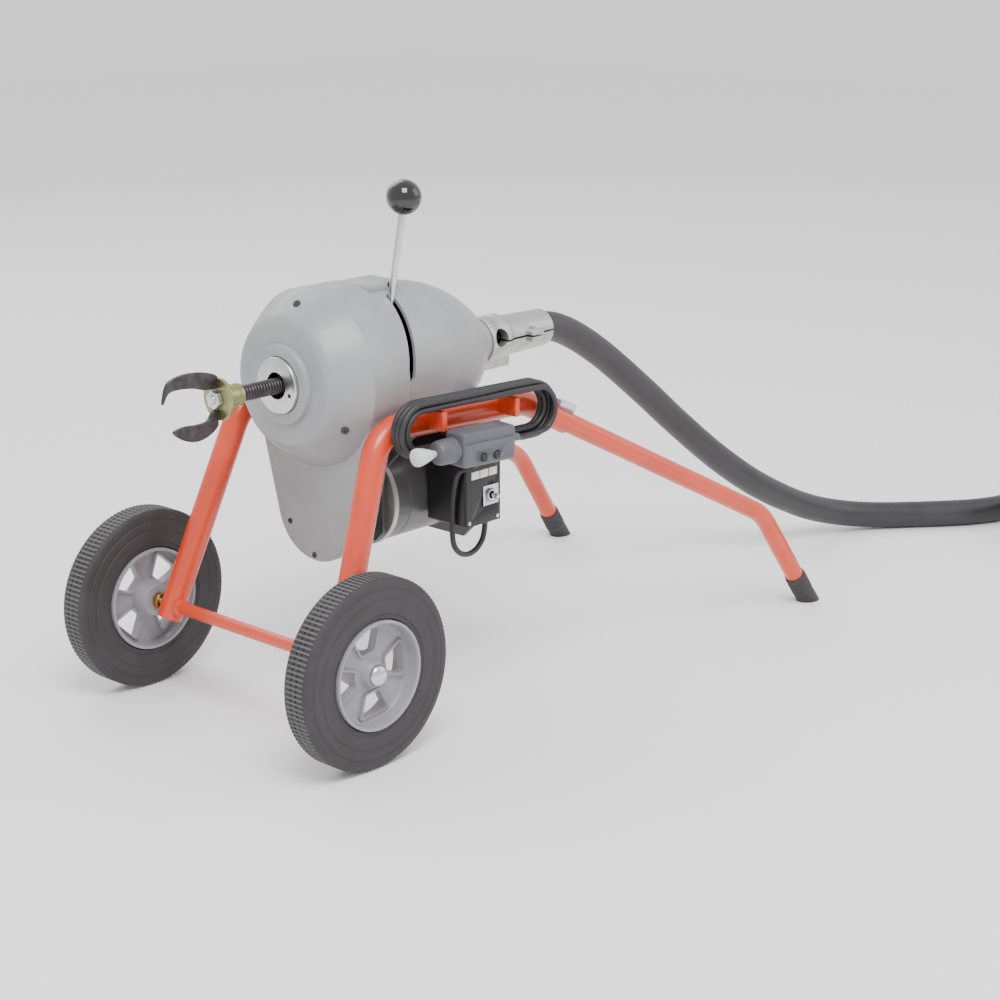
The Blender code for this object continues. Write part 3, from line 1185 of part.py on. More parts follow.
def build():
    for item in list(bpy.data.objects):
        bpy.data.objects.remove(item)
    for label, side, turn in (("near", -1, 0.0), ("far", 1, math.pi / 4)):
        tyre(f"{label}_tyre", side)
        rim(f"{label}_rim", side, turn)
        hub_cap(f"{label}_hub_cap", side)
        spacer(f"{label}_spacer", side)
        tube = frame_tube(f"{label}_frame_tube", side)
        if side < 0:
            cord_hooks(tube)
        rear_leg(f"{label}_rear_leg", side)
        foot_tip(f"{label}_foot_tip", side)
        leg_clamp(f"{label}_leg_clamp", side)
    axle()
    yoke("front_yoke", FRONT_YOKE_X, BELL_RADIUS + GAP, DOME_RADIUS + GAP, 50 * MM, MOTOR_Z - 55 * MM)
    yoke("rear_yoke", REAR_YOKE_X, bell_radius(REAR_YOKE_X) + GAP, MOTOR_RADIUS + GAP, 76 * MM,
         MOTOR_Z - 76 * MM)
    front_cover()
    rear_bell()
    spindle()
    chuck_nose()
    bearing("front_bearing", FRONT_BEARING_X, FRONT_BEARING_WIDTH, FRONT_BEARING_RADIUS,
            SPINDLE_FRONT_RADIUS)
    bearing("rear_bearing", REAR_BEARING_X, REAR_BEARING_WIDTH, REAR_BEARING_RADIUS, SPINDLE_REAR_RADIUS)
    pulley("driven_pulley", DRIVEN_PITCH, SPINDLE_RADIUS + GAP, SPINDLE_Z)
    pulley("motor_pulley", MOTOR_PITCH, SHAFT_RADIUS + GAP, MOTOR_Z)
    drive_belt()
    for k in range(JAW_COUNT):
        jaw(k)
    clutch()
    lever()
    cable_group()
    blades()
    motor()
    hose_adapter()
    hose_and_coil()
    switch_box()
    cord_group()
    ground_fault_unit()
    move_origin_under_machine()


build()
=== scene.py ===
# %% [markdown]
# # A wheeled drain cleaning machine
# A hollow spindle inside a cast drum turns a steel cable. A bent tube frame carries the drum, a motor
# hangs below it, and a hose guides the cable away behind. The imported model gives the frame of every
# moving piece, so each fine piece below is put where that model says.

import math

import bmesh
import bpy
from mathutils import Matrix, Vector


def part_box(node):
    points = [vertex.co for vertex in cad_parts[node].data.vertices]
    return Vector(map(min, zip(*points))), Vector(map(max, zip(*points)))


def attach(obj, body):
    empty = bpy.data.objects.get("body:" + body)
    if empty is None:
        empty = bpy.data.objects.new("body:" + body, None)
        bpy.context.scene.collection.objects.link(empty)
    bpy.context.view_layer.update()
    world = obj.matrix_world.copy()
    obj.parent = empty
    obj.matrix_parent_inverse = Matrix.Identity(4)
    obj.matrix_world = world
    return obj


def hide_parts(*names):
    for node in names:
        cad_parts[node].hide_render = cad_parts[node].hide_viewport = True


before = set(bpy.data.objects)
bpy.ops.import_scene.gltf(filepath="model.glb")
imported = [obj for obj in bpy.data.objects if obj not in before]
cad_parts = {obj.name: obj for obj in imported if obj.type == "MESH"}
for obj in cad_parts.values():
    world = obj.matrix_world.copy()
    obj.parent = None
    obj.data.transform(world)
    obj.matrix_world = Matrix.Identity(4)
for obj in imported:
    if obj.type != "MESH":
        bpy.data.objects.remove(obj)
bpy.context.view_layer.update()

# %% [markdown]
# ## One place to measure from
# The wheel axle is the natural zero of the machine. Every length below is in millimetres from the axle's
# middle, with X towards the hose, Y towards the far side and Z up from the floor.

# %% Millimetres from the axle
MM = 0.001
axle_low, axle_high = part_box("axle_rod")
AXLE_X = (axle_low.x + axle_high.x) / 2
spindle_low, spindle_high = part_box("spindle_tube")
SPINDLE_Z = (spindle_low.z + spindle_high.z) / 2 / MM
motor_low, motor_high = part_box("motor_shaft")
MOTOR_Z = (motor_low.z + motor_high.z) / 2 / MM
WHEEL_Z = (axle_low.z + axle_high.z) / 2 / MM


def at(x, y, z):
    """A point in metres from millimetres measured at the axle."""
    return Vector((AXLE_X + x * MM, y * MM, z * MM))


print("spindle height", round(SPINDLE_Z, 1), "motor height", round(MOTOR_Z, 1))

# %% [markdown]
# ## Camera
# The camera stands ahead of the machine on its near side, a little above it. A long lens keeps the two
# wheels nearly the same size, as in a catalogue picture.

# %% Camera
camera = bpy.data.objects.new("camera", bpy.data.cameras.new("camera"))
camera.data.lens = 77.6
camera.location = at(-1761.7, -2067.1, 1091.8)
camera.rotation_euler = Vector((0.70727, 0.64956, -0.27901)).to_track_quat("-Z", "Y").to_euler()
bpy.context.scene.collection.objects.link(camera)
bpy.context.scene.camera = camera
print("camera", [round(v, 3) for v in camera.location])

# %% [markdown]
# ## Material tools
# A colour chosen on a screen is sRGB, but Blender's shaders add light in linear values. One function turns
# a hex value to linear, and one adds a node with its settings and its links. Object coordinates are in
# metres, so a texture scale is worked out from a real size in millimetres.

# %% Colour and node helpers
def linear(code):
    """Linear RGBA of an sRGB hex value."""
    channels = [int(code[i:i + 2], 16) / 255 for i in (0, 2, 4)]
    return [c / 12.92 if c <= 0.04045 else ((c + 0.055) / 1.055) ** 2.4 for c in channels] + [1.0]


def add(tree, kind, settings=None, links=None):
    """One node, with plain properties or socket values, and links from other nodes' outputs."""
    node = tree.nodes.new(kind)
    for key, value in (settings or {}).items():
        if isinstance(key, str) and hasattr(node, key):
            setattr(node, key, value)
        else:
            node.inputs[key].default_value = value
    for key, output in (links or {}).items():
        tree.links.new(output, node.inputs[key])
    return node


def per_mm(size):
    """Texture scale that makes one feature about this many millimetres wide."""
    return 1000 / size


print("orange in linear light:", [round(v, 3) for v in linear("D9452A")])

# %% [markdown]
# ## One recipe for painted, cast and moulded finishes
# Paint, castings, rubber and plastics differ in colour, gloss and grain, and share the rest: a colour that
# wanders a little, a fine surface grain, and gloss that is uneven where hands and dust have been. The
# recipe takes a second colour for the wander, the grain's size and its height.

# %% Recipe for a grained finish
def grained(name, code, other, roughness, grain, height, metallic=0.0, wander=60, coat=0.0, blend=0.5,
            uneven=0.12):
    """A Principled finish: two colours mixed by slow noise, a fine bump, and uneven gloss."""
    material = bpy.data.materials.new(name)
    material.use_nodes = True
    tree = material.node_tree
    shader = tree.nodes["Principled BSDF"]
    shader.inputs["Metallic"].default_value = metallic
    shader.inputs["Coat Weight"].default_value = coat
    shader.inputs["Coat Roughness"].default_value = 0.12
    place = add(tree, "ShaderNodeTexCoord")
    slow = add(tree, "ShaderNodeTexNoise", {"Scale": per_mm(wander), "Detail": 4.0, "Roughness": 0.6},
               {"Vector": place.outputs["Object"]})
    fine = add(tree, "ShaderNodeTexNoise", {"Scale": per_mm(grain), "Detail": 3.0, "Roughness": 0.55},
               {"Vector": place.outputs["Object"]})
    share = add(tree, "ShaderNodeMapRange", {"From Min": 0.35, "From Max": 0.65, "To Max": blend},
                {"Value": slow.outputs["Fac"]})
    colour = add(tree, "ShaderNodeMix", {"data_type": "RGBA", 6: linear(code), 7: linear(other)},
                 {0: share.outputs["Result"]})
    gloss = add(tree, "ShaderNodeMapRange", {"From Min": 0.3, "From Max": 0.7, "To Min": roughness - uneven / 2,
                                             "To Max": roughness + uneven / 2}, {"Value": slow.outputs["Fac"]})
    bump = add(tree, "ShaderNodeBump", {"Strength": 1.0, "Distance": height * MM},
               {"Height": fine.outputs["Fac"]})
    tree.links.new(colour.outputs[2], shader.inputs["Base Color"])
    tree.links.new(gloss.outputs["Result"], shader.inputs["Roughness"])
    tree.links.new(bump.outputs["Normal"], shader.inputs["Normal"])
    return material


# Baked enamel: smooth and fairly glossy, with a faint ripple in its highlights.
ORANGE = grained("orange_enamel_on_steel_tube", "D8431F", "C23A1C", 0.34, 3.0, 0.05, coat=0.35, blend=0.6)
# Paint over a sand casting: satin, with the grain of the casting showing through.
GREY = grained("grey_enamel_on_sand_casting", "98999B", "8A8B8E", 0.42, 1.6, 0.14, coat=0.15, blend=0.6)
# Turned steel: bright, with sharp highlights broken up by fine tool marks.
STEEL = grained("turned_bright_steel", "D2D3D2", "BFC0C2", 0.26, 0.7, 0.01, 1.0, 25, uneven=0.1)
# Bright zinc: silvery, with a cool cast that drifts over each piece.
ZINC = grained("bright_zinc_plate", "D5D7DC", "C0C6CF", 0.28, 1.0, 0.02, 0.95, 14, blend=0.7)
# Cast aluminium: dull silver and grainy, with soft wide highlights.
ALUMINIUM = grained("cast_aluminium", "C3C4C2", "ABACAC", 0.42, 1.4, 0.12, 0.92, 20, uneven=0.16)
# Yellow chromate: brassy, with green patches over bright metal.
YELLOW_ZINC = grained("yellow_chromate_zinc", "A89C62", "8F9C7C", 0.33, 1.2, 0.03, 0.92, 9, blend=0.9)
# Oiled spring steel: dark grey, with a patchy oily sheen.
SPRING = grained("oiled_spring_steel", "565154", "3C393B", 0.4, 1.0, 0.04, 0.85, 12, blend=0.8)
# Turned brass: warm yellow metal, a little dulled by handling.
BRASS = grained("turned_brass", "B08D4A", "997637", 0.34, 1.0, 0.02, 0.95, 20)
# Tyre rubber: near black and dull, with a soft sheen on the shoulders.
TYRE = grained("moulded_tyre_rubber", "2B2829", "38363A", 0.62, 1.5, 0.1, wander=40, blend=0.7)
# Moulded nylon: mid grey satin, slightly mottled by the mould.
RIM = grained("moulded_nylon_rim", "908E93", "828086", 0.42, 1.2, 0.06, blend=0.5)
# Black ABS: satin black with a fine mould texture.
ABS = grained("black_moulded_abs", "19191B", "232326", 0.36, 0.9, 0.06, blend=0.5)
# Polished phenolic: deep black with mirror-sharp highlights.
PHENOLIC = grained("polished_phenolic_ball", "0B0B0D", "121214", 0.09, 2.0, 0.0, coat=0.6, uneven=0.03)
# Dark grey ABS: satin, with a fine mould texture.
DARK_ABS = grained("dark_grey_moulded_abs", "58585F", "4C4C53", 0.42, 0.9, 0.06, blend=0.6)
# Soft PVC: pale grey, smooth and faintly waxy.
PALE_PVC = grained("pale_grey_pvc_cap", "D3D5D6", "C3C6C9", 0.3, 1.5, 0.02)
# Motor enamel: dark grey and half glossy, a little uneven over rolled steel.
MOTOR_PAINT = grained("dark_motor_enamel", "58585A", "474749", 0.38, 1.8, 0.1, 0.1, 45, coat=0.2)
# Extruded rubber: dark grey satin, slightly streaky.
HOSE = grained("extruded_hose_rubber", "2C2A2C", "373538", 0.44, 1.4, 0.07, wander=50, blend=0.7, uneven=0.16)
# Rubber sheath: black, with a soft satin sheen.
CORD = grained("cord_rubber_sheath", "242427", "303034", 0.46, 0.9, 0.05, wander=20)
# Printed label: white film with a slight gloss.
WHITE = grained("printed_white_label", "E9E9E6", "DEDEDA", 0.4, 1.0, 0.01)
print("made", len(bpy.data.materials), "finishes")

# %% [markdown]
# ## Shape tools
# Most of this machine is turned, bent or sawn from plate. So three tools make nearly all of it: a turned
# profile, a tube swept along a smooth line, and an outline pushed through a thickness. Each returns a mesh
# with its place in its own vertices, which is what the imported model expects.

# %% Mesh helpers
def piece(name, mesh, material, sharp=35):
    """An object for a finished mesh, smooth except over sharp edges, with one finish."""
    mesh.shade_smooth()
    mesh.set_sharp_from_angle(angle=math.radians(sharp))
    mesh.materials.clear()
    mesh.materials.append(material)
    made = bpy.data.objects.new(name, mesh)
    bpy.context.scene.collection.objects.link(made)
    return made


def from_bmesh(name, bm, material, turn=None, sharp=35):
    """Close a bmesh into a piece, with its faces turned outwards."""
    bmesh.ops.recalc_face_normals(bm, faces=bm.faces)
    if turn is not None:
        bm.transform(turn)
    mesh = bpy.data.meshes.new(name)
    bm.to_mesh(mesh)
    bm.free()
    return piece(name, mesh, material, sharp)


def pointing(direction, origin):
    """A matrix that takes local X to a direction and the local origin to a point."""
    return Matrix.Translation(origin) @ Vector(direction).to_track_quat("X", "Z").to_matrix().to_4x4()


def turned(name, profile, material, origin, direction=(1, 0, 0), sides=96, sharp=35):
    """Turn a closed (along, radius) profile in millimetres about a line."""
    bm = bmesh.new()
    rings = []
    for along, radius in profile:
        angles = [2 * math.pi * k / sides for k in range(sides if radius > 0 else 1)]
        rings.append([bm.verts.new((along * MM, radius * MM * math.sin(a), radius * MM * math.cos(a)))
                      for a in angles])
    for first, second in zip(rings, rings[1:] + rings[:1]):
        if len(first) == 1 and len(second) == 1:
            continue
        for k in range(sides):
            after = (k + 1) % sides
            corners = [first[k % len(first)], first[after % len(first)], second[after % len(second)],
                       second[k % len(second)]]
            bm.faces.new(list(dict.fromkeys(corners)))
    return from_bmesh(name, bm, material, pointing(direction, origin), sharp)


def plate(name, outline, low, high, material, turn):
    """Push an (x, z) outline in millimetres through local Y from low to high."""
    bm = bmesh.new()
    front = [bm.verts.new((x * MM, low * MM, z * MM)) for x, z in outline]
    back = [bm.verts.new((x * MM, high * MM, z * MM)) for x, z in outline]
    bm.faces.new(front)
    bm.faces.new(back)
    for k in range(len(outline)):
        after = (k + 1) % len(outline)
        bm.faces.new((front[k], front[after], back[after], back[k]))
    return from_bmesh(name, bm, material, turn)


def rounded_box(name, low, high, radius, material, turn=None, segments=3):
    """A box between two corners in millimetres, with every edge rounded."""
    bm = bmesh.new()
    bmesh.ops.create_cube(bm, size=1)
    size = [h - l for l, h in zip(low, high)]
    middle = [(h + l) / 2 for l, h in zip(low, high)]
    for vertex in bm.verts:
        vertex.co = [(c * s + m) * MM for c, s, m in zip(vertex.co, size, middle)]
    bmesh.ops.bevel(bm, geom=bm.edges[:], offset=radius * MM, segments=segments, profile=0.5, affect="EDGES")
    return from_bmesh(name, bm, material, turn, 50)


def smooth_line(route, spacing):
    """Points every so many metres along a Catmull-Rom curve through a route."""
    route = [Vector(p) for p in route]
    padded = [route[0] * 2 - route[1]] + route + [route[-1] * 2 - route[-2]]
    fine = []
    for p0, p1, p2, p3 in zip(padded, padded[1:], padded[2:], padded[3:]):
        for k in range(16):
            t = k / 16
            fine.append(0.5 * (2 * p1 + (p2 - p0) * t + (2 * p0 - 5 * p1 + 4 * p2 - p3) * t * t
                               + (3 * p1 - p0 - 3 * p2 + p3) * t ** 3))
    fine.append(route[-1])
    line, walked = [fine[0]], 0.0
    for a, b in zip(fine, fine[1:]):
        walked += (b - a).length
        if walked >= spacing:
            line.append(b)
            walked = 0.0
    if (line[-1] - route[-1]).length < spacing / 2:
        line.pop()
    return line + [route[-1]]


def bent_line(corners, radii):
    """Straight runs joined by arcs, as a tube bender makes them; radii in millimetres."""
    steps = 14
    line = [Vector(corners[0])]
    for before, corner, after, radius in zip(corners, corners[1:], corners[2:], radii):
        corner = Vector(corner)
        inward = (Vector(before) - corner).normalized()
        outward = (Vector(after) - corner).normalized()
        half = inward.angle(outward) / 2
        middle = corner + (inward + outward).normalized() * (radius * MM / math.sin(half))
        first = corner + inward * (radius * MM / math.tan(half)) - middle
        last = corner + outward * (radius * MM / math.tan(half)) - middle
        axis = first.cross(last).normalized()
        for k in range(steps + 1):
            line.append(middle + Matrix.Rotation(first.angle(last) * k / steps, 3, axis) @ first)
    line.append(Vector(corners[-1]))
    return line


def curve_piece(name, line, radius, material, resolution=6):
    """A round cord or hose as one open curve with filled ends; radius in millimetres."""
    curve = bpy.data.curves.new(name, "CURVE")
    curve.dimensions = "3D"
    curve.resolution_u = 1
    curve.render_resolution_u = 0
    curve.bevel_depth = radius * MM
    curve.bevel_resolution = resolution
    curve.use_fill_caps = True
    spline = curve.splines.new("POLY")
    spline.points.add(len(line) - 1)
    for slot, point in zip(spline.points, line):
        slot.co = (*point, 1)
    spline.use_smooth = True
    curve.materials.append(material)
    made = bpy.data.objects.new(name, curve)
    bpy.context.scene.collection.objects.link(made)
    return made


def tube(name, line, outer, material, inner=0, sides=32):
    """A swept tube mesh along a line; inner 0 gives a solid bar. Radii in millimetres."""
    bm = bmesh.new()
    line = [Vector(p) for p in line]
    steps = [(b - a).normalized() for a, b in zip(line, line[1:])]
    tangents = [steps[0]] + [(a + b).normalized() for a, b in zip(steps, steps[1:])] + [steps[-1]]
    side = tangents[0].orthogonal().normalized()
    shells = [[] for _ in range(2 if inner else 1)]
    for point, tangent in zip(line, tangents):
        side = (side - tangent * side.dot(tangent)).normalized()
        across = tangent.cross(side)
        for shell, radius in zip(shells, (outer, inner)):
            shell.append([bm.verts.new(point + (side * math.cos(2 * math.pi * k / sides)
                                                + across * math.sin(2 * math.pi * k / sides)) * radius * MM)
                          for k in range(sides)])
    for shell in shells:
        for first, second in zip(shell, shell[1:]):
            for k in range(sides):
                after = (k + 1) % sides
                bm.faces.new((first[k], first[after], second[after], second[k]))
    for end in (0, -1):
        if inner:
            for k in range(sides):
                after = (k + 1) % sides
                bm.faces.new((shells[0][end][k], shells[0][end][after], shells[1][end][after], shells[1][end][k]))
        else:
            bm.faces.new(shells[0][end])
    return from_bmesh(name, bm, material, None, 40)


def length_of(line):
    return sum((b - a).length for a, b in zip(line, line[1:]))


# %% [markdown]
# ## Cutting and rounding
# A Boolean cuts a window or a slot, and a small bevel then catches the light along each edge, as a real
# casting or machined edge does. Both are applied at once, so that the piece is plain mesh afterwards.

# %% Boolean and bevel helpers
def baked(made):
    """Apply every modifier by swapping in the evaluated mesh."""
    graph = bpy.context.evaluated_depsgraph_get()
    mesh = bpy.data.meshes.new_from_object(made.evaluated_get(graph))
    made.modifiers.clear()
    made.data = mesh
    return made


def combine(made, tools, operation):
    """Cut or join tools with the piece and remove them."""
    for tool in tools:
        step = made.modifiers.new("step", "BOOLEAN")
        step.operation = operation
        step.object = tool
        baked(made)
        bpy.data.objects.remove(tool)
    return made


def soften(made, width, segments=2, angle=40):
    """Round the sharp edges by a width in millimetres."""
    step = made.modifiers.new("edges", "BEVEL")
    step.width = width * MM
    step.segments = segments
    step.limit_method = "ANGLE"
    step.angle_limit = math.radians(angle)
    step.harden_normals = False
    baked(made)
    made.data.shade_smooth()
    made.data.set_sharp_from_angle(angle=math.radians(50))
    return made


# %% [markdown]
# ## Guide hose
# The hose is a soft rubber tube 44 mm across. It leaves the clamp level, sags to the floor in one long
# curve and snakes away. What lies beyond is wound in a coil, one turn and a half lying on each other.

# %% Guide hose
HOSE_RADIUS = 22
FLOOR_HOSE = HOSE_RADIUS + 0.3
COIL = at(1560, -518, FLOOR_HOSE)
COIL_RADIUS = 208
ARRIVAL_RADIUS = 252.3      # the hose comes in beside the first turn
HOSE_LENGTH = 3.05
DRAWN_IN = 1.2              # radians of turn in which the hose is drawn in to the coil
CLIMB_START = 4.9           # radians of turn at which it starts to climb onto the first turn
CLIMB = 1.25
EXTRA_ARC = 0.14            # what the wider arrival adds, as radians of turn
hose_route = [at(545, 0, SPINDLE_Z), at(590, 0, SPINDLE_Z - 0.5), at(640, -1, 433), at(710, -4, 391),
              at(798, -12, 323), at(886, -25, 248), at(972, -42, 178), at(1063, -58, 117), at(1170, -70, 64),
              at(1256, -88, 35), at(1330, -132, 23.5), at(1421, -208, FLOOR_HOSE), at(1465, -238, FLOOR_HOSE),
              at(1507, -256, FLOOR_HOSE), COIL + Vector((0, ARRIVAL_RADIUS * MM, 0))]
hose_line = smooth_line(hose_route, 0.012)
COIL_END = (HOSE_LENGTH - length_of(hose_line)) / (COIL_RADIUS * MM) - EXTRA_ARC
COIL_STEPS = 110
for k in range(1, COIL_STEPS + 1):
    angle = COIL_END * k / COIL_STEPS
    inward = min(1, angle / DRAWN_IN)
    upward = min(1, max(0, angle - CLIMB_START) / CLIMB)
    radius = ARRIVAL_RADIUS + (COIL_RADIUS - ARRIVAL_RADIUS) * inward * inward * (3 - 2 * inward)
    lift = 2 * HOSE_RADIUS * upward * upward * (3 - 2 * upward)
    hose_line.append(COIL + Vector((math.sin(angle) * radius, math.cos(angle) * radius, lift)) * MM)
hose = curve_piece("rear_guide_hose", hose_line, HOSE_RADIUS, HOSE, 10)
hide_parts("guide_hose", "hose_coil")
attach(hose, "frame")
print("hose length", round(length_of(hose_line), 2), "m")

# %% [markdown]
# ## Power cord
# One cord runs from the gland under the switch box, in a small loop, up to the hooks on the rail. There it
# is wound six times round, and the end goes to the ground-fault box that carries the plug. The six turns
# are stacked two high and three deep. Each turn changes place along the bottom run.

# %% Hank frame
CORD_RADIUS = 4
rail = Vector((246, -29, 0)).normalized()
rail_out = Vector((rail.y, -rail.x, 0))
HANK = Vector((246, -132 - 132 * 29 / 246, 404)) + rail_out * (17.5 + 6 + 13)


def hank(along, up, out=0.0):
    """A point in the wound cord's own frame, in millimetres along the rail, up and outwards."""
    point = HANK + rail * along + rail_out * out + Vector((0, 0, up))
    return at(*point)


def cell(k):
    """(outwards, radius) of the strand of turn k; neighbours in the list lie side by side."""
    return [(-8.4, 35.7), (-8.4, 27.4), (0, 27.4), (0, 35.7), (8.4, 35.7), (8.4, 27.4)][min(k, 5)]


print("hank middle", [round(v, 3) for v in hank(0, 0)])

# %% Route of the cord
HALF_RUN = 94
GLAND = at(327, -120, 229.7)
cord_route = [GLAND, GLAND - Vector((0, 0, 6 * MM))]
for k in range(1, 7):
    angle = math.pi * k / 6
    cord_route.append(at(295 + 32 * math.cos(angle), -120, 223.7 - 32 * math.sin(angle)))
cord_route += [at(262, -121, 256), at(260.5, -125, 288), at(257, -138, 319), hank(6, -66, -8),
               hank(-6, -48, -8.4),
               hank(-34, -37, -8.4)]
cord_line = smooth_line(cord_route, 0.004)
for turn in range(6):
    out, radius = cell(turn)
    for k in range(6):
        cord_line.append(hank(-50 - (HALF_RUN - 50) * k / 6, -radius, out))
    for k in range(17):
        angle = -math.pi / 2 - math.pi * k / 16
        cord_line.append(hank(-HALF_RUN + radius * math.cos(angle), radius * math.sin(angle), out))
    if turn == 5:
        break
    for k in range(1, 16):
        cord_line.append(hank(-HALF_RUN + 2 * HALF_RUN * k / 16, radius, out))
    for k in range(17):
        angle = math.pi / 2 - math.pi * k / 16
        cord_line.append(hank(HALF_RUN + radius * math.cos(angle), radius * math.sin(angle), out))
    next_out, next_radius = cell(turn + 1)
    for k in range(1, 13):
        share = k / 13
        eased = share * share * (3 - 2 * share)
        cord_line.append(hank(HALF_RUN - (HALF_RUN + 50) * share, -radius - (next_radius - radius) * eased,
                              out + (next_out - out) * eased))
out, radius = cell(5)
tail_out = 17.4
tail_route = [hank(-HALF_RUN + 8, radius, out), hank(-30, radius + 1, out), hank(20, radius + 2, out + 5),
              hank(58, 31, tail_out)]
for k in range(1, 8):
    angle = math.pi / 2 - math.pi * (k - 0.5) / 7.5
    tail_route.append(hank(HALF_RUN + 31 * math.cos(angle), 31 * math.sin(angle), tail_out))
tail_route += [hank(66, -31, 22), hank(48.3, -27, 29), hank(36.3, -24, 34), hank(24.3, -24, 34)]
cord_line += smooth_line(tail_route, 0.005)
power_cord = curve_piece("power_cord", cord_line, CORD_RADIUS, CORD, 4)
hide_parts("cord_lead", "cord_hank", "cord_tail")
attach(power_cord, "frame")
print("cord length", round(length_of(cord_line), 2), "m")

# %% [markdown]
# ## Ground-fault box, plug and cap
# The box is moulded in two halves with a parting line, and its plug body stands on its end. Two small
# buttons sit in wells on the near face. A pale soft cap covers the plug's blades in storage.

# %% Ground-fault unit
BOX = (HANK + rail * -20 + rail_out * (13 + 1 + 20) + Vector((0, 0, -24)))
box_frame = Matrix.Translation(at(*BOX)) @ Matrix.Rotation(math.atan2(rail.y, rail.x), 4, "Z")
unit = rounded_box("ground_fault_box", (-44, -20, -23), (44, 20, 23), 5, DARK_ABS, box_frame, 4)
groove = rounded_box("groove", (-46, -20.6, -0.6), (46, -19.4, 0.6), 0.2, DARK_ABS,
                     box_frame @ Matrix.Translation((0, 0, 9 * MM)), 1)
combine(unit, [groove], "DIFFERENCE")
wells = [turned("well", [(-7, 0), (-7, 5.5), (5, 5.5), (5, 0)], DARK_ABS,
                box_frame @ Vector((x * MM, -0.02, -0.012)),
                box_frame.to_3x3() @ Vector((0, -1, 0)), 32) for x in (-11, 11)]
combine(unit, wells, "DIFFERENCE")
plug = turned("moulded_plug", [(-76, 0), (-76, 13), (-75, 14.5), (-73, 15.6), (-68, 16.6), (-54, 16.9),
                               (-52, 16.2),
                               (-50, 16.9), (-47, 17), (-42, 15), (-42, 0)], DARK_ABS,
              box_frame @ Vector((0, 0, 0)),
              box_frame.to_3x3() @ Vector((1, 0, 0)), 48)
cap = turned("plug_blade_cap", [(-76.4, 0), (-76.4, 4.2), (-80, 5.2), (-88, 8.0), (-96, 10.4), (-102, 11.7),
                                (-106, 12),
                                (-109, 11.2), (-110.3, 9), (-110.3, 0)], PALE_PVC, box_frame @ Vector((0, 0, 0)),
             box_frame.to_3x3() @ Vector((1, 0, 0)), 48)
strain = turned("box_strain_relief", [(43, 0), (43, 7.6), (46, 7.4), (58, 5.4), (64, 4.6), (64, 4.1), (44, 4.1),
                                      (44, 0)], DARK_ABS, box_frame @ Vector((0, 0, 0)),
                box_frame.to_3x3() @ Vector((1, 0, 0)), 32)
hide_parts("gfci_box")
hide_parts("plug_cover")
for made, slot in ((unit, "grey_plastic"), (plug, "grey_plastic"), (cap, "pale_plastic"),
                   (strain, "grey_plastic")):
    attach(made, "frame")
for name, body, x in (("gfci_test_button", "test_button", -11), ("gfci_reset_button", "reset_button", 11)):
    button = turned(name + "_cap", [(-3.5, 0), (-3.5, 4.9), (1, 4.9), (1.8, 4.3), (2, 3), (2, 0)], ABS,
                    box_frame @ Vector((x * MM, -0.02, -0.012)), box_frame.to_3x3() @ Vector((0, -1, 0)), 32)
    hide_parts(name)
    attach(button, body)
gland = turned("cord_gland_sleeve", [(0, 4.1), (0, 5.2), (1, 5.6), (3, 5.9), (4, 6.6), (6, 8.6), (6.5, 9),
                                     (20, 9),
                                     (20, 4.1)], ABS, GLAND + Vector((0, 0, 0.0003)), (0, 0, 1), 48)
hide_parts("cord_gland")
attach(gland, "frame")
print("ground-fault box at", [round(v, 3) for v in box_frame.translation])


# %% [markdown]
# ## Tyres
# A solid rubber tyre has steps moulded round its side wall and a flat tread with fine cross bars, greyed by
# dust. The section is turned. The bars repeat all round, so Geometry Nodes place them: a mesh line gives the
# count, each point is turned by its share of a circle, and a bar sits on each.

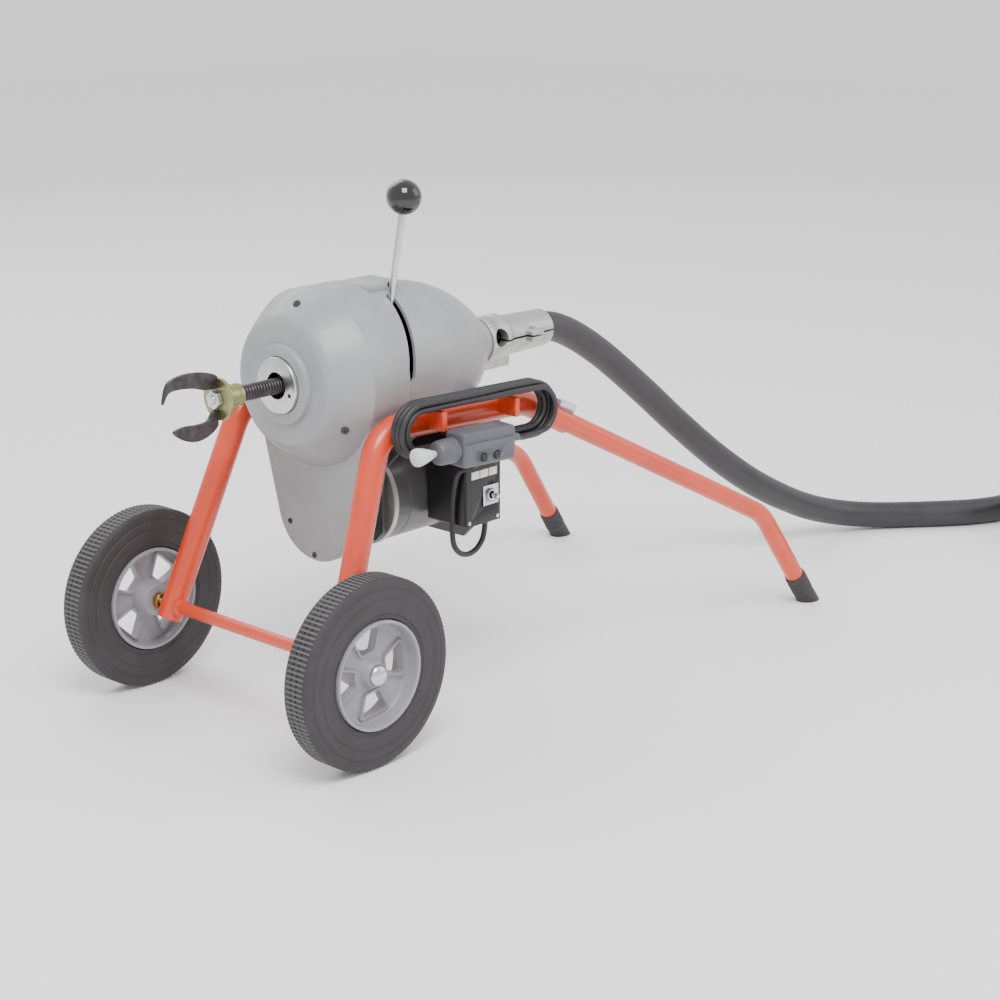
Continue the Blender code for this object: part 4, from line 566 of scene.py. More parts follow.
# %% Node tree for blocks in a ring
def ring_tree(material):
    """Geometry Nodes: blocks of a given size, standing in a ring about local Y."""
    tree = bpy.data.node_groups.new("blocks_in_a_ring", "GeometryNodeTree")
    for name, kind in (("Count", "NodeSocketInt"), ("Radius", "NodeSocketFloat"), ("Offset", "NodeSocketFloat"),
                       ("Size", "NodeSocketVector")):
        tree.interface.new_socket(name, in_out="INPUT", socket_type=kind)
    tree.interface.new_socket("Geometry", in_out="OUTPUT", socket_type="NodeSocketGeometry")
    given = add(tree, "NodeGroupInput")
    index = add(tree, "GeometryNodeInputIndex")
    share = add(tree, "ShaderNodeMath", {"operation": "DIVIDE"}, {0: index.outputs[0], 1: given.outputs["Count"]})
    angle = add(tree, "ShaderNodeMath", {"operation": "MULTIPLY", 1: 2 * math.pi}, {0: share.outputs[0]})
    sine = add(tree, "ShaderNodeMath", {"operation": "SINE"}, {0: angle.outputs[0]})
    cosine = add(tree, "ShaderNodeMath", {"operation": "COSINE"}, {0: angle.outputs[0]})
    across = add(tree, "ShaderNodeMath", {"operation": "MULTIPLY"},
                 {0: sine.outputs[0], 1: given.outputs["Radius"]})
    upward = add(tree, "ShaderNodeMath", {"operation": "MULTIPLY"},
                 {0: cosine.outputs[0], 1: given.outputs["Radius"]})
    spot = add(tree, "ShaderNodeCombineXYZ", None,
               {0: across.outputs[0], 1: given.outputs["Offset"], 2: upward.outputs[0]})
    turn = add(tree, "ShaderNodeCombineXYZ", None, {1: angle.outputs[0]})
    points = add(tree, "GeometryNodeMeshLine", None, {"Count": given.outputs["Count"]})
    placed = add(tree, "GeometryNodeSetPosition", None,
                 {"Geometry": points.outputs[0], "Position": spot.outputs[0]})
    block = add(tree, "GeometryNodeMeshCube", None, {"Size": given.outputs["Size"]})
    copies = add(tree, "GeometryNodeInstanceOnPoints", None,
                 {"Points": placed.outputs[0], "Instance": block.outputs[0], "Rotation": turn.outputs[0]})
    real = add(tree, "GeometryNodeRealizeInstances", None, {"Geometry": copies.outputs[0]})
    coated = add(tree, "GeometryNodeSetMaterial", {"Material": material}, {"Geometry": real.outputs[0]})
    add(tree, "NodeGroupOutput", None, {0: coated.outputs[0]})
    return tree


def ring_of_blocks(name, tree, material, count, radius, offset, size, origin):
    """A plain mesh ring of blocks; sizes in millimetres."""
    made = bpy.data.objects.new(name, bpy.data.meshes.new(name))
    bpy.context.scene.collection.objects.link(made)
    step = made.modifiers.new("ring", "NODES")
    step.node_group = tree
    values = {"Count": count, "Radius": radius * MM, "Offset": offset * MM, "Size": [v * MM for v in size]}
    for item in tree.interface.items_tree:
        if item.in_out == "INPUT":
            step[item.identifier] = values[item.name]
    made.update_tag()
    baked(made)
    made.data.transform(Matrix.Translation(origin))
    made.data.materials.clear()
    made.data.materials.append(material)
    return made


# Worn tread: grey with dust, without any shine.
TREAD = grained("dusty_tread_rubber", "5E5E5E", "505050", 0.85, 3.0, 0.2)
tyre_tree = ring_tree(TREAD)
print("tyre tree has", len(tyre_tree.nodes), "nodes")

# %% Tyres
TRACK = 222.5
TYRE_SECTION = [(-18.4, 72.2), (-20.2, 74), (-20.4, 79), (-21.6, 80.4), (-21.8, 96), (-20.9, 97.4), (-20.9, 99.6),
                (-21.6, 101), (-21.2, 110), (-20.4, 111), (-20.3, 113), (-20.9, 114), (-20.2, 119.6),
                (-18.6, 123.4),
                (-16.6, 125.2), (-6, 126.1), (-5.4, 124.6), (-4.2, 124.6), (-3.6, 126.1), (3.6, 126.1),
                (4.2, 124.6),
                (5.4, 124.6), (6, 126.1), (16.6, 125.2), (18.6, 123.4), (20.2, 119.6), (20.9, 114), (20.3, 113),
                (20.4, 111), (21.2, 110), (21.6, 101), (20.9, 99.6), (20.9, 97.4), (21.8, 96), (21.6, 80.4),
                (20.4, 79), (20.2, 74), (18.4, 72.2)]
for label, side in (("near", -1), ("far", 1)):
    centre = at(0, side * TRACK, WHEEL_Z)
    tyre = turned(f"{label}_tyre_rubber", TYRE_SECTION, TYRE, centre, (0, side, 0), 128, 30)
    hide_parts(f"{label}_tyre")
    bars = ring_of_blocks(f"{label}_tread_bars", tyre_tree, TREAD, 120, 124.9, 0, (2.6, 32, 2.6), centre)
    for made in (tyre, bars):
        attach(made, f"{label}_wheel")
print("two tyres, 254 mm across")

# %% [markdown]
# ## Rims
# The rim is moulded nylon: a dished web with four fan-shaped windows, a raised lip round each window, and
# a long hub. The web is turned first, and the windows are cut from it with rounded corners.

# %% Rims
WINDOWS = 4
CORNER_STEPS = 6


def fan_outline(inner, outer, width, middle, corner):
    """A fan-shaped window about an angle with rounded corners, as (x, z) in millimetres."""
    points = []
    for radial, centre_radius in ((1, outer - corner), (-1, inner + corner)):
        for sign in (1, -1):
            centre = middle + sign * (width / 2 - corner / centre_radius)
            outward = Vector((math.sin(centre), math.cos(centre)))
            sideways = Vector((math.cos(centre), -math.sin(centre))) * sign
            for k in range(CORNER_STEPS):
                angle = math.pi / 2 * k / (CORNER_STEPS - 1)
                rounding = outward * radial * math.cos(angle) + sideways * math.sin(angle)
                points.append(tuple(outward * centre_radius + rounding * corner))
    return points


def ordered(points, middle_radius, middle):
    """Sort outline points round the window's own centre."""
    centre = Vector((math.sin(middle), math.cos(middle))) * middle_radius
    return sorted(points, key=lambda p: math.atan2(p[1] - centre.y, p[0] - centre.x))


for label, side, first in (("near", -1, -8), ("far", 1, 42)):
    centre = at(0, side * TRACK, WHEEL_Z)
    facing = (0, side, 0)
    dish = turned(f"{label}_rim_dish", [(-23, 71.7), (-23, 68), (-16, 66.6), (-4, 66), (-3, 64), (-2.6, 30),
                                        (-4, 26),
                                        (-28, 23), (-30, 22), (-30, 7), (18, 7), (18, 15.6), (17, 16.6),
                                        (8, 18.5),
                                        (5, 21), (4, 26), (2.6, 30), (3, 60), (5, 64), (9, 66.2), (20, 67),
                                        (23, 68), (23.6, 69.6), (23.6, 71.7)], RIM, centre, facing, 96, 30)
    tools = []
    lips = []
    for k in range(WINDOWS):
        middle = math.radians(first + 91 * k)
        turn = Matrix.Translation(centre)
        window = ordered(fan_outline(28, 60, math.radians(44), middle, 4), 46, middle)
        tools.append(plate("window", window, -12, 12, RIM, turn))
        outside = ordered(fan_outline(25.5, 63, math.radians(52), middle, 5), 46, middle)
        lips.append(plate("lip", outside, -6.5, 6.5, RIM, turn))
    combine(dish, lips, "UNION")
    combine(dish, tools, "DIFFERENCE")
    soften(dish, 0.9)
    dish.name = f"{label}_rim_dish"
    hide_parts(f"{label}_rim")
    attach(dish, f"{label}_wheel")
    cap = turned(f"{label}_push_cap", [(18.3, 6.6), (18.3, 14.2), (19.4, 14.5), (21.4, 14.2), (24, 12.4),
                                       (26.4, 9),
                                       (27.8, 4.6), (28.3, 0), (26, 0), (24.5, 6.6)], STEEL, centre, facing, 48)
    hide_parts(f"{label}_hub_cap")
    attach(cap, "frame")
print("two rims with four windows each")

# %% [markdown]
# ## Frame tubes
# Each side of the frame is one steel tube, bent twice and painted. A thinner cross tube round the axle
# joins the two front legs, with a small weld bead where they meet.

# %% Frame tubes and cross tube
RAIL_Z = SPINDLE_Z - 48


def leg_point(height):
    share = (height - 127) / (RAIL_Z - 127)
    return Vector((4 + 110 * share, 164 - 32 * share, height))


socket_way = Vector((446, 85, -240)).normalized()
socket = Vector((360, 161, RAIL_Z)) + socket_way * 83


def beside(point, side):
    return at(point[0], side * point[1], point[2])


for label, side in (("near", -1), ("far", 1)):
    corners = [leg_point(108), leg_point(RAIL_Z), Vector((360, 161, RAIL_Z)), socket]
    rail_tube = tube(f"{label}_bent_tube", bent_line([beside(p, side) for p in corners], (55, 80)), 17.5, ORANGE,
                     15, 40)
    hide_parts(f"{label}_frame_tube")
    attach(rail_tube, "frame")
sleeve = turned("axle_cross_tube", [(-145, 6.7), (-145, 9), (145, 9), (145, 6.7)], ORANGE, at(0, 0, WHEEL_Z),
                (0, 1, 0),
                48)
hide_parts("axle_tube")
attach(sleeve, "frame")
for label, side in (("near", -1), ("far", 1)):
    bead = turned(f"{label}_weld_bead", [(139.6, 8.9), (140.8, 11.6), (143.4, 12.8), (146.2, 12.6), (147.4, 11),
                                        (147.6, 8.9)], ORANGE, at(0, 0, WHEEL_Z), (0, side, 0), 48)
    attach(bead, "frame")
    washer = turned(f"{label}_wheel_spacer", [(183.6, 6.7), (183.6, 10.4), (184.4, 11), (191.4, 11),
                                              (192.1, 10.4),
                                             (192.1, 6.7)], BRASS, at(0, 0, WHEEL_Z), (0, side, 0), 48)
    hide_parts(f"{label}_spacer")
    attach(washer, "frame")
print("frame tubes bent")

# %% [markdown]
# ## Cord hooks
# Two flat steel hooks are welded to the near rail, and the wound cord hangs on them.

# %% Cord hooks
for k, along in enumerate((-62, 62)):
    turn = Matrix.Translation(hank(along, 0)) @ Matrix.Rotation(math.atan2(rail.y, rail.x), 4, "Z")
    hook = rounded_box(f"cord_hook_{k + 1}", (-4, -13, -5), (4, 24, 21.3), 1.5, ORANGE, turn)
    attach(hook, "frame")
print("two hooks")

# %% [markdown]
# ## Rear legs
# The rear legs slide in the ends of the frame tubes. Each is bent once towards the floor and ends in a
# ribbed rubber tip that is cut flat where it stands.

# %% Rear legs and tips
foot = Vector((922, 257, 0))
knee = Vector((806, 246, 163))
down = (foot - knee).normalized()
for label, side in (("near", -1), ("far", 1)):
    start = socket - socket_way * 50
    end = foot - down * (10 / abs(down.z) + 14)
    leg = tube(f"{label}_sliding_leg", bent_line([beside(p, side) for p in (start, knee, end)], (90,)), 14,
               ORANGE,
               12, 36)
    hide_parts(f"{label}_rear_leg")
    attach(leg, f"{label}_leg")
    way = Vector((down.x, side * down.y, down.z))
    reach = 10 / abs(down.z) + 14 - 0.3
    ribs = []
    for k in range(4):
        base = -reach - 30 + 8 * k
        ribs += [(base, 15.6), (base + 1, 16.4), (base + 5, 16.4), (base + 6, 15.6)]
    tip = turned(f"{label}_ribbed_tip", [(-34 - reach, 14.3), (-34 - reach, 15.6)] + ribs + [(0, 16.5),
                                                                                             (40, 16.5),
                 (40, 0), (-reach, 0), (-reach, 14.3)], TYRE, beside(foot, side), way, 48)
    low = beside(foot, side)
    floor_tool = rounded_box("floor_tool", (-80, -80, -160), (80, 80, 0), 0.01, TYRE, Matrix.Translation(low), 1)
    combine(tip, [floor_tool], "DIFFERENCE")
    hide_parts(f"{label}_foot_tip")
    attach(tip, f"{label}_leg")
print("rear legs and tips")

# %% [markdown]
# ## Front cover and belt guard
# The front cover and the belt guard are one casting: a turned face with a raised boss, a rounded shoulder,
# and a drop-shaped plate that reaches down over the small pulley. The turned shape and the plate are made
# as two pieces that meet, and the long edge of the guard is rounded.

# %% Front cover casting
def drop_outline(upper, lower, steps=40):
    """Outline round the two pulley circles and their common tangents, as (y, z) in millimetres."""
    lean = math.asin((lower - upper) / (SPINDLE_Z - MOTOR_Z))
    points = []
    for radius, height, start, stop in ((upper, SPINDLE_Z, lean, math.pi - lean),
                                        (lower, MOTOR_Z, math.pi - lean, 2 * math.pi + lean)):
        for k in range(steps + 1):
            angle = start + (stop - start) * k / steps
            points.append((radius * math.cos(angle), height + radius * math.sin(angle)))
    return points


ACROSS = Matrix.Translation(at(0, 0, 0)) @ Matrix.Rotation(math.pi / 2, 4, "Z")
guard = plate("guard", drop_outline(119.6, 73.5), -168, -118, GREY, ACROSS)
soften(guard, 5, 4, 50)
shell = [(62.5, 0), (62.5, 50.2), (63.2, 52.6), (65, 53.8), (69.5, 54.6)]
shell += [(69.5, 78), (69.8, 81.5), (71.2, 85)]
for k in range(1, 13):
    share = k / 12
    shell.append((69.5 + 50.5 * share, 85 + 36 * share ** 0.8 - 1.2 * math.sin(math.pi * share) * (1 - share)))
shell += [(122, 121), (183.6, 121), (184.4, 120.6), (184.8, 119.8), (184.8, 117), (122, 117), (116, 113),
          (80, 80),
          (80, 51.3), (96, 51.3), (96, 45.3), (76, 45.3), (76, 38.6), (64, 38.6), (64, 0)]
cover = turned("front_cover_casting", shell, GREY, at(0, 0, SPINDLE_Z), (1, 0, 0), 160, 30)
hollow = [(y, z) for y, z in drop_outline(115.6, 69.5)]
room = plate("room", hollow, -190, -122, GREY, ACROSS)
mouth = turned("mouth", [(50, 0), (50, 38.6), (66, 38.6), (66, 0)], GREY, at(0, 0, SPINDLE_Z), (1, 0, 0), 160)
combine(guard, [room], "DIFFERENCE")
combine(cover, [mouth], "DIFFERENCE")
cover.data.shade_smooth()
cover.data.set_sharp_from_angle(angle=math.radians(30))
guard.name = "belt_guard_casting"
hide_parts("front_cover")
for made in (cover, guard):
    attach(made, "frame")
print("front cover and guard cast")

# %% [markdown]
# ## Rear bell
# The bell is turned: a cylinder that closes in one full curve to the rear bearing. A helical slot is cut
# through it for the clutch lever, and a low pad with one screw stands on top.

# %% Rear bell
BELL_RADIUS = 111
BELL_STRAIGHT_END = 255
BELL_CURVE = 175            # length of the closing curve
TAIL_RADIUS = 32


def bell_radius(x):
    """Outer radius of the bell at a distance behind the axle."""
    if x <= BELL_STRAIGHT_END:
        return float(BELL_RADIUS)
    points = ((0, BELL_RADIUS), (0.43 * BELL_CURVE, BELL_RADIUS), (0.73 * BELL_CURVE, 0.72 * BELL_RADIUS),
              (BELL_CURVE, TAIL_RADIUS))
    low, high = 0.0, 1.0
    for _ in range(30):
        t = (low + high) / 2
        weights = ((1 - t) ** 3, 3 * t * (1 - t) ** 2, 3 * t * t * (1 - t), t ** 3)
        reached = sum(w * p[0] for w, p in zip(weights, points))
        low, high = (t, high) if reached < x - BELL_STRAIGHT_END else (low, t)
    return sum(w * p[1] for w, p in zip(weights, points))


TILT = math.radians(10.9)
LEVER_X = 222
LEVER_OFFSET = 29.3         # the rod's line passes beside the spindle by this much
SLOT_HALF = 6


def slot_tool():
    """The curved slot as a solid, from just before the lever at rest to just past its lowest place."""
    tilt, offset, travel, swing = TILT, LEVER_OFFSET, 24, math.radians(60)
    length = math.sqrt(BELL_RADIUS ** 2 - offset ** 2)
    rest = math.atan2(offset * math.cos(tilt) + length * math.sin(tilt),
                      -offset * math.sin(tilt) + length * math.cos(tilt))
    end_round = SLOT_HALF / BELL_RADIUS
    first, last = rest - math.radians(4.5), rest + swing + math.radians(4.5)
    count = 60
    bm = bmesh.new()
    rows = []
    for k in range(count + 1):
        angle = first + (last - first) * (1 - math.cos(math.pi * k / count)) / 2
        depth = min(angle - first, last - angle, end_round) / end_round
        half = SLOT_HALF * max(0.12, math.sqrt(max(0, 1 - (1 - depth) ** 2)))
        middle = LEVER_X - travel * (angle - rest) / swing
        rows.append([bm.verts.new(at(x, -radius * math.sin(angle), SPINDLE_Z + radius * math.cos(angle)))
                     for x, radius in ((middle - half, 100), (middle + half, 100), (middle + half, 125),
                                       (middle - half, 125))])
    for before, after in zip(rows, rows[1:]):
        for k in range(4):
            bm.faces.new((before[k], before[(k + 1) % 4], after[(k + 1) % 4], after[k]))
    bm.faces.new(rows[0])
    bm.faces.new(rows[-1])
    return from_bmesh("slot", bm, ABS)


outer = [(185.3, 106), (185.3, 110.2), (185.9, 111)] + [(x, bell_radius(x)) for x in range(190, 431, 6)]
outer += [(430, 32), (438.8, 32), (440, 31), (440, 25.5), (422, 25.5), (422, 36.3), (388, 36.3)]
inside = [(x, bell_radius(x) - 5) for x in range(378, 189, -8)]
bell = turned("rear_bell_casting", outer + inside, GREY, at(0, 0, SPINDLE_Z), (1, 0, 0), 160, 40)
pad = rounded_box("pad", (192, -30, 104), (256, 26, 118), 5, GREY, Matrix.Translation(at(0, 0, SPINDLE_Z)), 4)
combine(bell, [pad], "UNION")
combine(bell, [slot_tool()], "DIFFERENCE")
soften(bell, 0.8)
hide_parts("rear_bell")
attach(bell, "frame")
print("bell closes from", bell_radius(250), "to", round(bell_radius(429), 1), "mm")

# %% [markdown]
# ## Chuck nose
# A bright turned disc closes the front of the spindle, with the cable's mouth in its middle and one small
# screw that keeps it from turning.

# %% Chuck nose
nose = turned("chuck_nose_disc", [(57, 18.4), (57, 36.4), (57.5, 37.3), (58.6, 38), (75.7, 38), (75.7, 17.5),
                                  (58.6, 17.5), (57.4, 17.9)], STEEL, at(0, 0, SPINDLE_Z), (1, 0, 0), 128, 30)
angle = math.radians(20)
screw_spot = at(0, -27.7 * math.cos(angle), SPINDLE_Z - 27.7 * math.sin(angle))
hole = turned("hole", [(50, 0), (50, 3), (62, 3), (62, 0)], STEEL, screw_spot, (1, 0, 0), 32)
combine(nose, [hole], "DIFFERENCE")
nose.data.set_sharp_from_angle(angle=math.radians(30))
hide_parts("chuck_nose")
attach(nose, "spindle")
screw = turned("nose_set_screw", [(59.6, 0), (59.6, 1.3), (59.0, 2.6), (62, 2.8), (62, 0)], SPRING, screw_spot,
               (1, 0, 0), 24)
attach(screw, "spindle")
print("nose disc 76 mm across")

# %% [markdown]
# ## Clutch lever
# A round bar with a polished ball on top. It leans a little towards the user and comes out of the slot.

# %% Lever rod and ball
lever_way = Vector((0, -math.sin(TILT), math.cos(TILT)))
lever_origin = at(LEVER_X, -LEVER_OFFSET * math.cos(TILT), SPINDLE_Z - LEVER_OFFSET * math.sin(TILT))
BALL_AT = 246
BALL_RADIUS = 23.5
rod = turned("clutch_lever_rod", [(42, 0), (42, 4.5), (226, 4.5), (228, 3.9), (237, 3.9), (237, 0)], STEEL,
             lever_origin, lever_way, 40)
ball_profile = [(BALL_AT - BALL_RADIUS * math.cos(a), BALL_RADIUS * math.sin(a))
                for a in [math.radians(17 + 163 * k / 40) for k in range(40)]]
ball = turned("clutch_lever_ball", [(223.2, 4.8), (223.2, 6.5)] + ball_profile + [(269.5, 0), (238, 0),
                                                                                  (238, 4.8)],
              PHENOLIC, lever_origin, lever_way, 96)
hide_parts("lever_rod")
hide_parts("lever_knob")
for made in (rod, ball):
    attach(made, "lever")
print("ball 47 mm across")

# %% [markdown]
# ## Sectional cable
# The cable is one heavy wire wound tight like a spring. Its shape follows a rule, so Geometry Nodes make
# it: a spiral curve with a round wire swept along it, one wire's width per turn.

# %% Wound cable
def coil_tree(material):
    """Geometry Nodes: a round wire wound in a helix about local Z."""
    tree = bpy.data.node_groups.new("wound_wire", "GeometryNodeTree")
    for name, kind in (("Turns", "NodeSocketFloat"), ("Radius", "NodeSocketFloat"), ("Length", "NodeSocketFloat"),
                       ("Wire", "NodeSocketFloat")):
        tree.interface.new_socket(name, in_out="INPUT", socket_type=kind)
    tree.interface.new_socket("Geometry", in_out="OUTPUT", socket_type="NodeSocketGeometry")
    given = add(tree, "NodeGroupInput")
    spiral = add(tree, "GeometryNodeCurveSpiral", {"Resolution": 16},
                 {"Rotations": given.outputs["Turns"], "Start Radius": given.outputs["Radius"],
                  "End Radius": given.outputs["Radius"], "Height": given.outputs["Length"]})
    section = add(tree, "GeometryNodeCurvePrimitiveCircle", {"Resolution": 8}, {"Radius": given.outputs["Wire"]})
    wire = add(tree, "GeometryNodeCurveToMesh", {"Fill Caps": True},
               {"Curve": spiral.outputs[0], "Profile Curve": section.outputs[0]})
    smooth = add(tree, "GeometryNodeSetShadeSmooth", None, {0: wire.outputs[0]})
    real = add(tree, "GeometryNodeRealizeInstances", None, {"Geometry": smooth.outputs[0]})
    coated = add(tree, "GeometryNodeSetMaterial", {"Material": material}, {"Geometry": real.outputs[0]})
    add(tree, "NodeGroupOutput", None, {0: coated.outputs[0]})
    return tree


cable = bpy.data.objects.new("wound_cable", bpy.data.meshes.new("wound_cable"))
bpy.context.scene.collection.objects.link(cable)
CABLE_WIRE = 2.4
cable_length = 530.7 - 2 * CABLE_WIRE
step = cable.modifiers.new("wire", "NODES")
step.node_group = coil_tree(SPRING)
cable_sizes = {"Turns": cable_length / (2 * CABLE_WIRE), "Radius": (11 - CABLE_WIRE) * MM,
               "Length": cable_length * MM, "Wire": CABLE_WIRE * MM}
for item in step.node_group.interface.items_tree:
    if item.in_out == "INPUT":
        step[item.identifier] = cable_sizes[item.name]
cable.update_tag()
baked(cable)
cable.data.transform(Matrix.Translation(at(-25.7 + CABLE_WIRE, 0, SPINDLE_Z)) @ Matrix.Rotation(math.pi / 2, 4,
                                                                                                "Y"))
cable.data.materials.clear()
cable.data.materials.append(SPRING)
core = turned("cable_core", [(-25.7, 0), (-25.7, 8.4), (504.9, 8.4), (504.9, 0)], SPRING, at(0, 0, SPINDLE_Z),
              (1, 0, 0), 32)
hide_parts("cable_section")
for made in (cable, core):
    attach(made, "cable")
print("cable triangles", len(cable.data.polygons) * 2)

# %% [markdown]
# ## Cutter
# The cutter screws on the cable's coupling. Two sawn and hardened blades stand on a plated disc: the upper
# one hooks down at its tip and the lower one is shorter. The bolt's head shows in front of the disc.

# %% Coupling, disc and bolt
coupling = turned("cutter_coupling_barrel", [(-6, 11.3), (-6, 14.2), (-6.8, 15), (-13, 15), (-13.6, 14.2),
                                             (-16, 14.2), (-16.6, 15), (-33.5, 15), (-35.2, 16.2), (-36, 18),
                                             (-36, 26.4), (-36.7, 27.6), (-37.8, 28), (-40.2, 28), (-41.3, 27.6),
                                             (-42, 26.4), (-42, 0), (-26, 0), (-26, 11.3)], YELLOW_ZINC,
                  at(0, 0, SPINDLE_Z), (1, 0, 0), 96, 30)
bolt_outline = [(12.6 * math.cos(math.radians(60 * k + 15)), 12.6 * math.sin(math.radians(60 * k + 15)))
                for k in range(6)]
bolt = plate("cutter_hex_bolt", bolt_outline, 42.3, 50.3, ZINC,
             Matrix.Translation(at(0, 0, SPINDLE_Z)) @ Matrix.Rotation(math.pi / 2, 4, "Z"))
soften(bolt, 0.8, 3)
bolt_end = turned("cutter_bolt_end", [(-50, 0), (-50, 6.2), (-53.6, 6.2), (-54.3, 5.4), (-54.3, 0)], ZINC,
                  at(0, 0, SPINDLE_Z), (1, 0, 0), 32)
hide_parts("cutter_coupling")
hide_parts("cutter_bolt")
for made in (coupling, bolt, bolt_end):
    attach(made, "cable")


def flowing(corners):
    """A closed outline rounded through its corners."""
    steps = 8
    count = len(corners)
    points = []
    for k in range(count):
        p0, p1, p2, p3 = (Vector(corners[(k + j - 1) % count]) for j in range(4))
        for j in range(steps):
            t = j / steps
            points.append(tuple(0.5 * (2 * p1 + (p2 - p0) * t + (2 * p0 - 5 * p1 + 4 * p2 - p3) * t * t
                                       + (3 * p1 - p0 - 3 * p2 + p3) * t ** 3)))
    return points


# %% Blades
UPPER = [(0, 15), (0, 30), (-20, 38), (-48, 41), (-70, 38), (-82, 30), (-88, 8), (-80, 20), (-66, 23), (-42, 21),
         (-24, 16), (-14, 15)]
LOWER = [(0, -15), (0, -33), (-14, -44), (-34, -49), (-56, -44), (-73, -31), (-58, -26), (-36, -27), (-18, -25),
         (-9, -15)]
for name, node, corners in (("cutter_upper_blade", "upper_blade", UPPER),
                            ("cutter_lower_blade", "lower_blade", LOWER)):
    outline = [(min(x, 0), z) for x, z in flowing(corners)]
    blade = plate(name, outline, -2.5, 2.5, SPRING, Matrix.Translation(at(-42.3, 0, SPINDLE_Z)))
    soften(blade, 0.9, 2, 50)
    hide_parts(node)
    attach(blade, "cable")
print("cutter with two blades")

# %% [markdown]
# ## Motor
# The motor's shell is a rolled steel cylinder, painted dark. Its front end bell is bare cast aluminium, and
# its back cover has a ring of air slots.

# %% Motor
motor_at = at(0, 0, MOTOR_Z)
shell_profile = [(214, 61), (214, 65.4), (214.8, 66), (236, 66), (236.6, 65.4), (238.4, 65.4), (239, 66),
                 (372, 66), (372.6, 65.3), (375, 65.3), (375.6, 66), (384, 66), (388, 64.6), (391, 61.4),
                 (392, 57.4), (392, 8.3), (386, 8.3), (386, 61)]
motor_shell = turned("motor_rolled_shell", shell_profile, MOTOR_PAINT, motor_at, (1, 0, 0), 128, 30)
tools = []
for k in range(20):
    turn = Matrix.Translation(motor_at) @ Matrix.Rotation(2 * math.pi * k / 20, 4, "X")
    tools.append(rounded_box("slot", (380, -3, 30), (400, 3, 52), 2.4, MOTOR_PAINT, turn, 3))
combine(motor_shell, tools, "DIFFERENCE")
motor_shell.data.shade_smooth()
motor_shell.data.set_sharp_from_angle(angle=math.radians(30))
end_bell = turned("motor_end_bell", [(184, 8.3), (184, 24), (185.4, 27.6), (189.6, 41), (192.6, 43.6), (205, 44),
                                     (205, 67), (205.8, 68), (212.8, 68), (213.7, 67), (213.7, 8.3)], ALUMINIUM,
                  motor_at, (1, 0, 0), 128, 30)
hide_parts("motor_shell")
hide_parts("motor_front_bell")
for made in (motor_shell, end_bell):
    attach(made, "frame")
print("motor 132 mm across")

# %% [markdown]
# ## Switch box
# A moulded box is screwed to the motor's side. On its face are a blank three-part label for the
# forward, off and reverse places, and a toggle in a pale square surround.

# %% Switch box
box_low, box_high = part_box("switch_box")
box_size = (box_high - box_low) / MM
box_turn = Matrix.Translation(box_low)
switch = rounded_box("switch_box_moulding", (0, 0, 0), tuple(box_size), 3, ABS, box_turn, 3)
TOGGLE = at(316, -139.8, 277)
well = turned("well", [(-11, 0), (-11, 8), (5, 8), (5, 0)], ABS, TOGGLE, (0, -1, 0), 48)
sleeve_hole = turned("hole", [(-10, 0), (-10, 9.3), (12.3, 9.3), (12.3, 0)], ABS, at(327, -120, 238),
                     (0, 0, 1), 48)
combine(switch, [well, sleeve_hole], "DIFFERENCE")
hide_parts("switch_box")
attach(switch, "frame")
seam = rounded_box("switch_cover_plate", (-34, -1.4, -51), (34, 0, 51), 0.6, ABS,
                   Matrix.Translation((box_low.x + 0.034, box_low.y, box_low.z + 0.051)), 2)
plate_hole = turned("hole", [(-5, 0), (-5, 8), (5, 8), (5, 0)], ABS, TOGGLE, (0, -1, 0), 48)
combine(seam, [plate_hole], "DIFFERENCE")
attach(seam, "frame")
surround = rounded_box("toggle_surround", (-15, -2.6, -14), (15, -1.2, 14), 0.6, ZINC,
                       Matrix.Translation(TOGGLE), 2)
hole = turned("hole", [(-5, 0), (-5, 8), (5, 8), (5, 0)], ZINC, TOGGLE, (0, -1, 0), 48)
combine(surround, [hole], "DIFFERENCE")
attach(surround, "frame")
collar = turned("toggle_collar", [(0, 5.6), (0, 7.8), (3.4, 7.8), (4.2, 7.2), (4.2, 5.6)], STEEL, TOGGLE,
                (0, -1, 0),
                48)
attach(collar, "frame")
for k in range(3):
    label = rounded_box(f"switch_label_{k + 1}", (-26 + 17.4 * k, -2.0, 27), (-10 + 17.4 * k, -1.3, 38), 0.3,
                        WHITE,
                        Matrix.Translation(at(304, -139.8, 277)), 1)
    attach(label, "frame")
for k, (x, z) in enumerate(((-28, 45), (28, 45), (-28, -45), (28, -45))):
    screw = turned(f"box_screw_{k + 1}", [(1.3, 0), (1.3, 3), (2.2, 2.8), (2.6, 1.6), (2.1, 0.9), (2.1, 0)], ZINC,
                   at(302 + x, -139.8, 289 + z), (0, -1, 0), 24)
    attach(screw, "frame")
bat = turned("toggle_bat", [(-5, 0), (-4, 3), (-2, 4.6), (0, 5), (2, 4.4), (4, 3), (6, 2.7), (16, 3.6), (20, 3.7),
                            (21.4, 2.9), (22, 1.4), (22, 0)], STEEL, at(316, -134.8, 277), (0, -1, 0), 40)
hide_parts("switch_toggle")
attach(bat, "toggle")
print("switch box", [round(v) for v in box_size])

# %% [markdown]
# ## Hose adapter
# A cast sleeve is bolted behind the bell. It is split along its side, and a bolt through two ears closes it
# on the hose. A round hole in its collar lets the user see the cable.

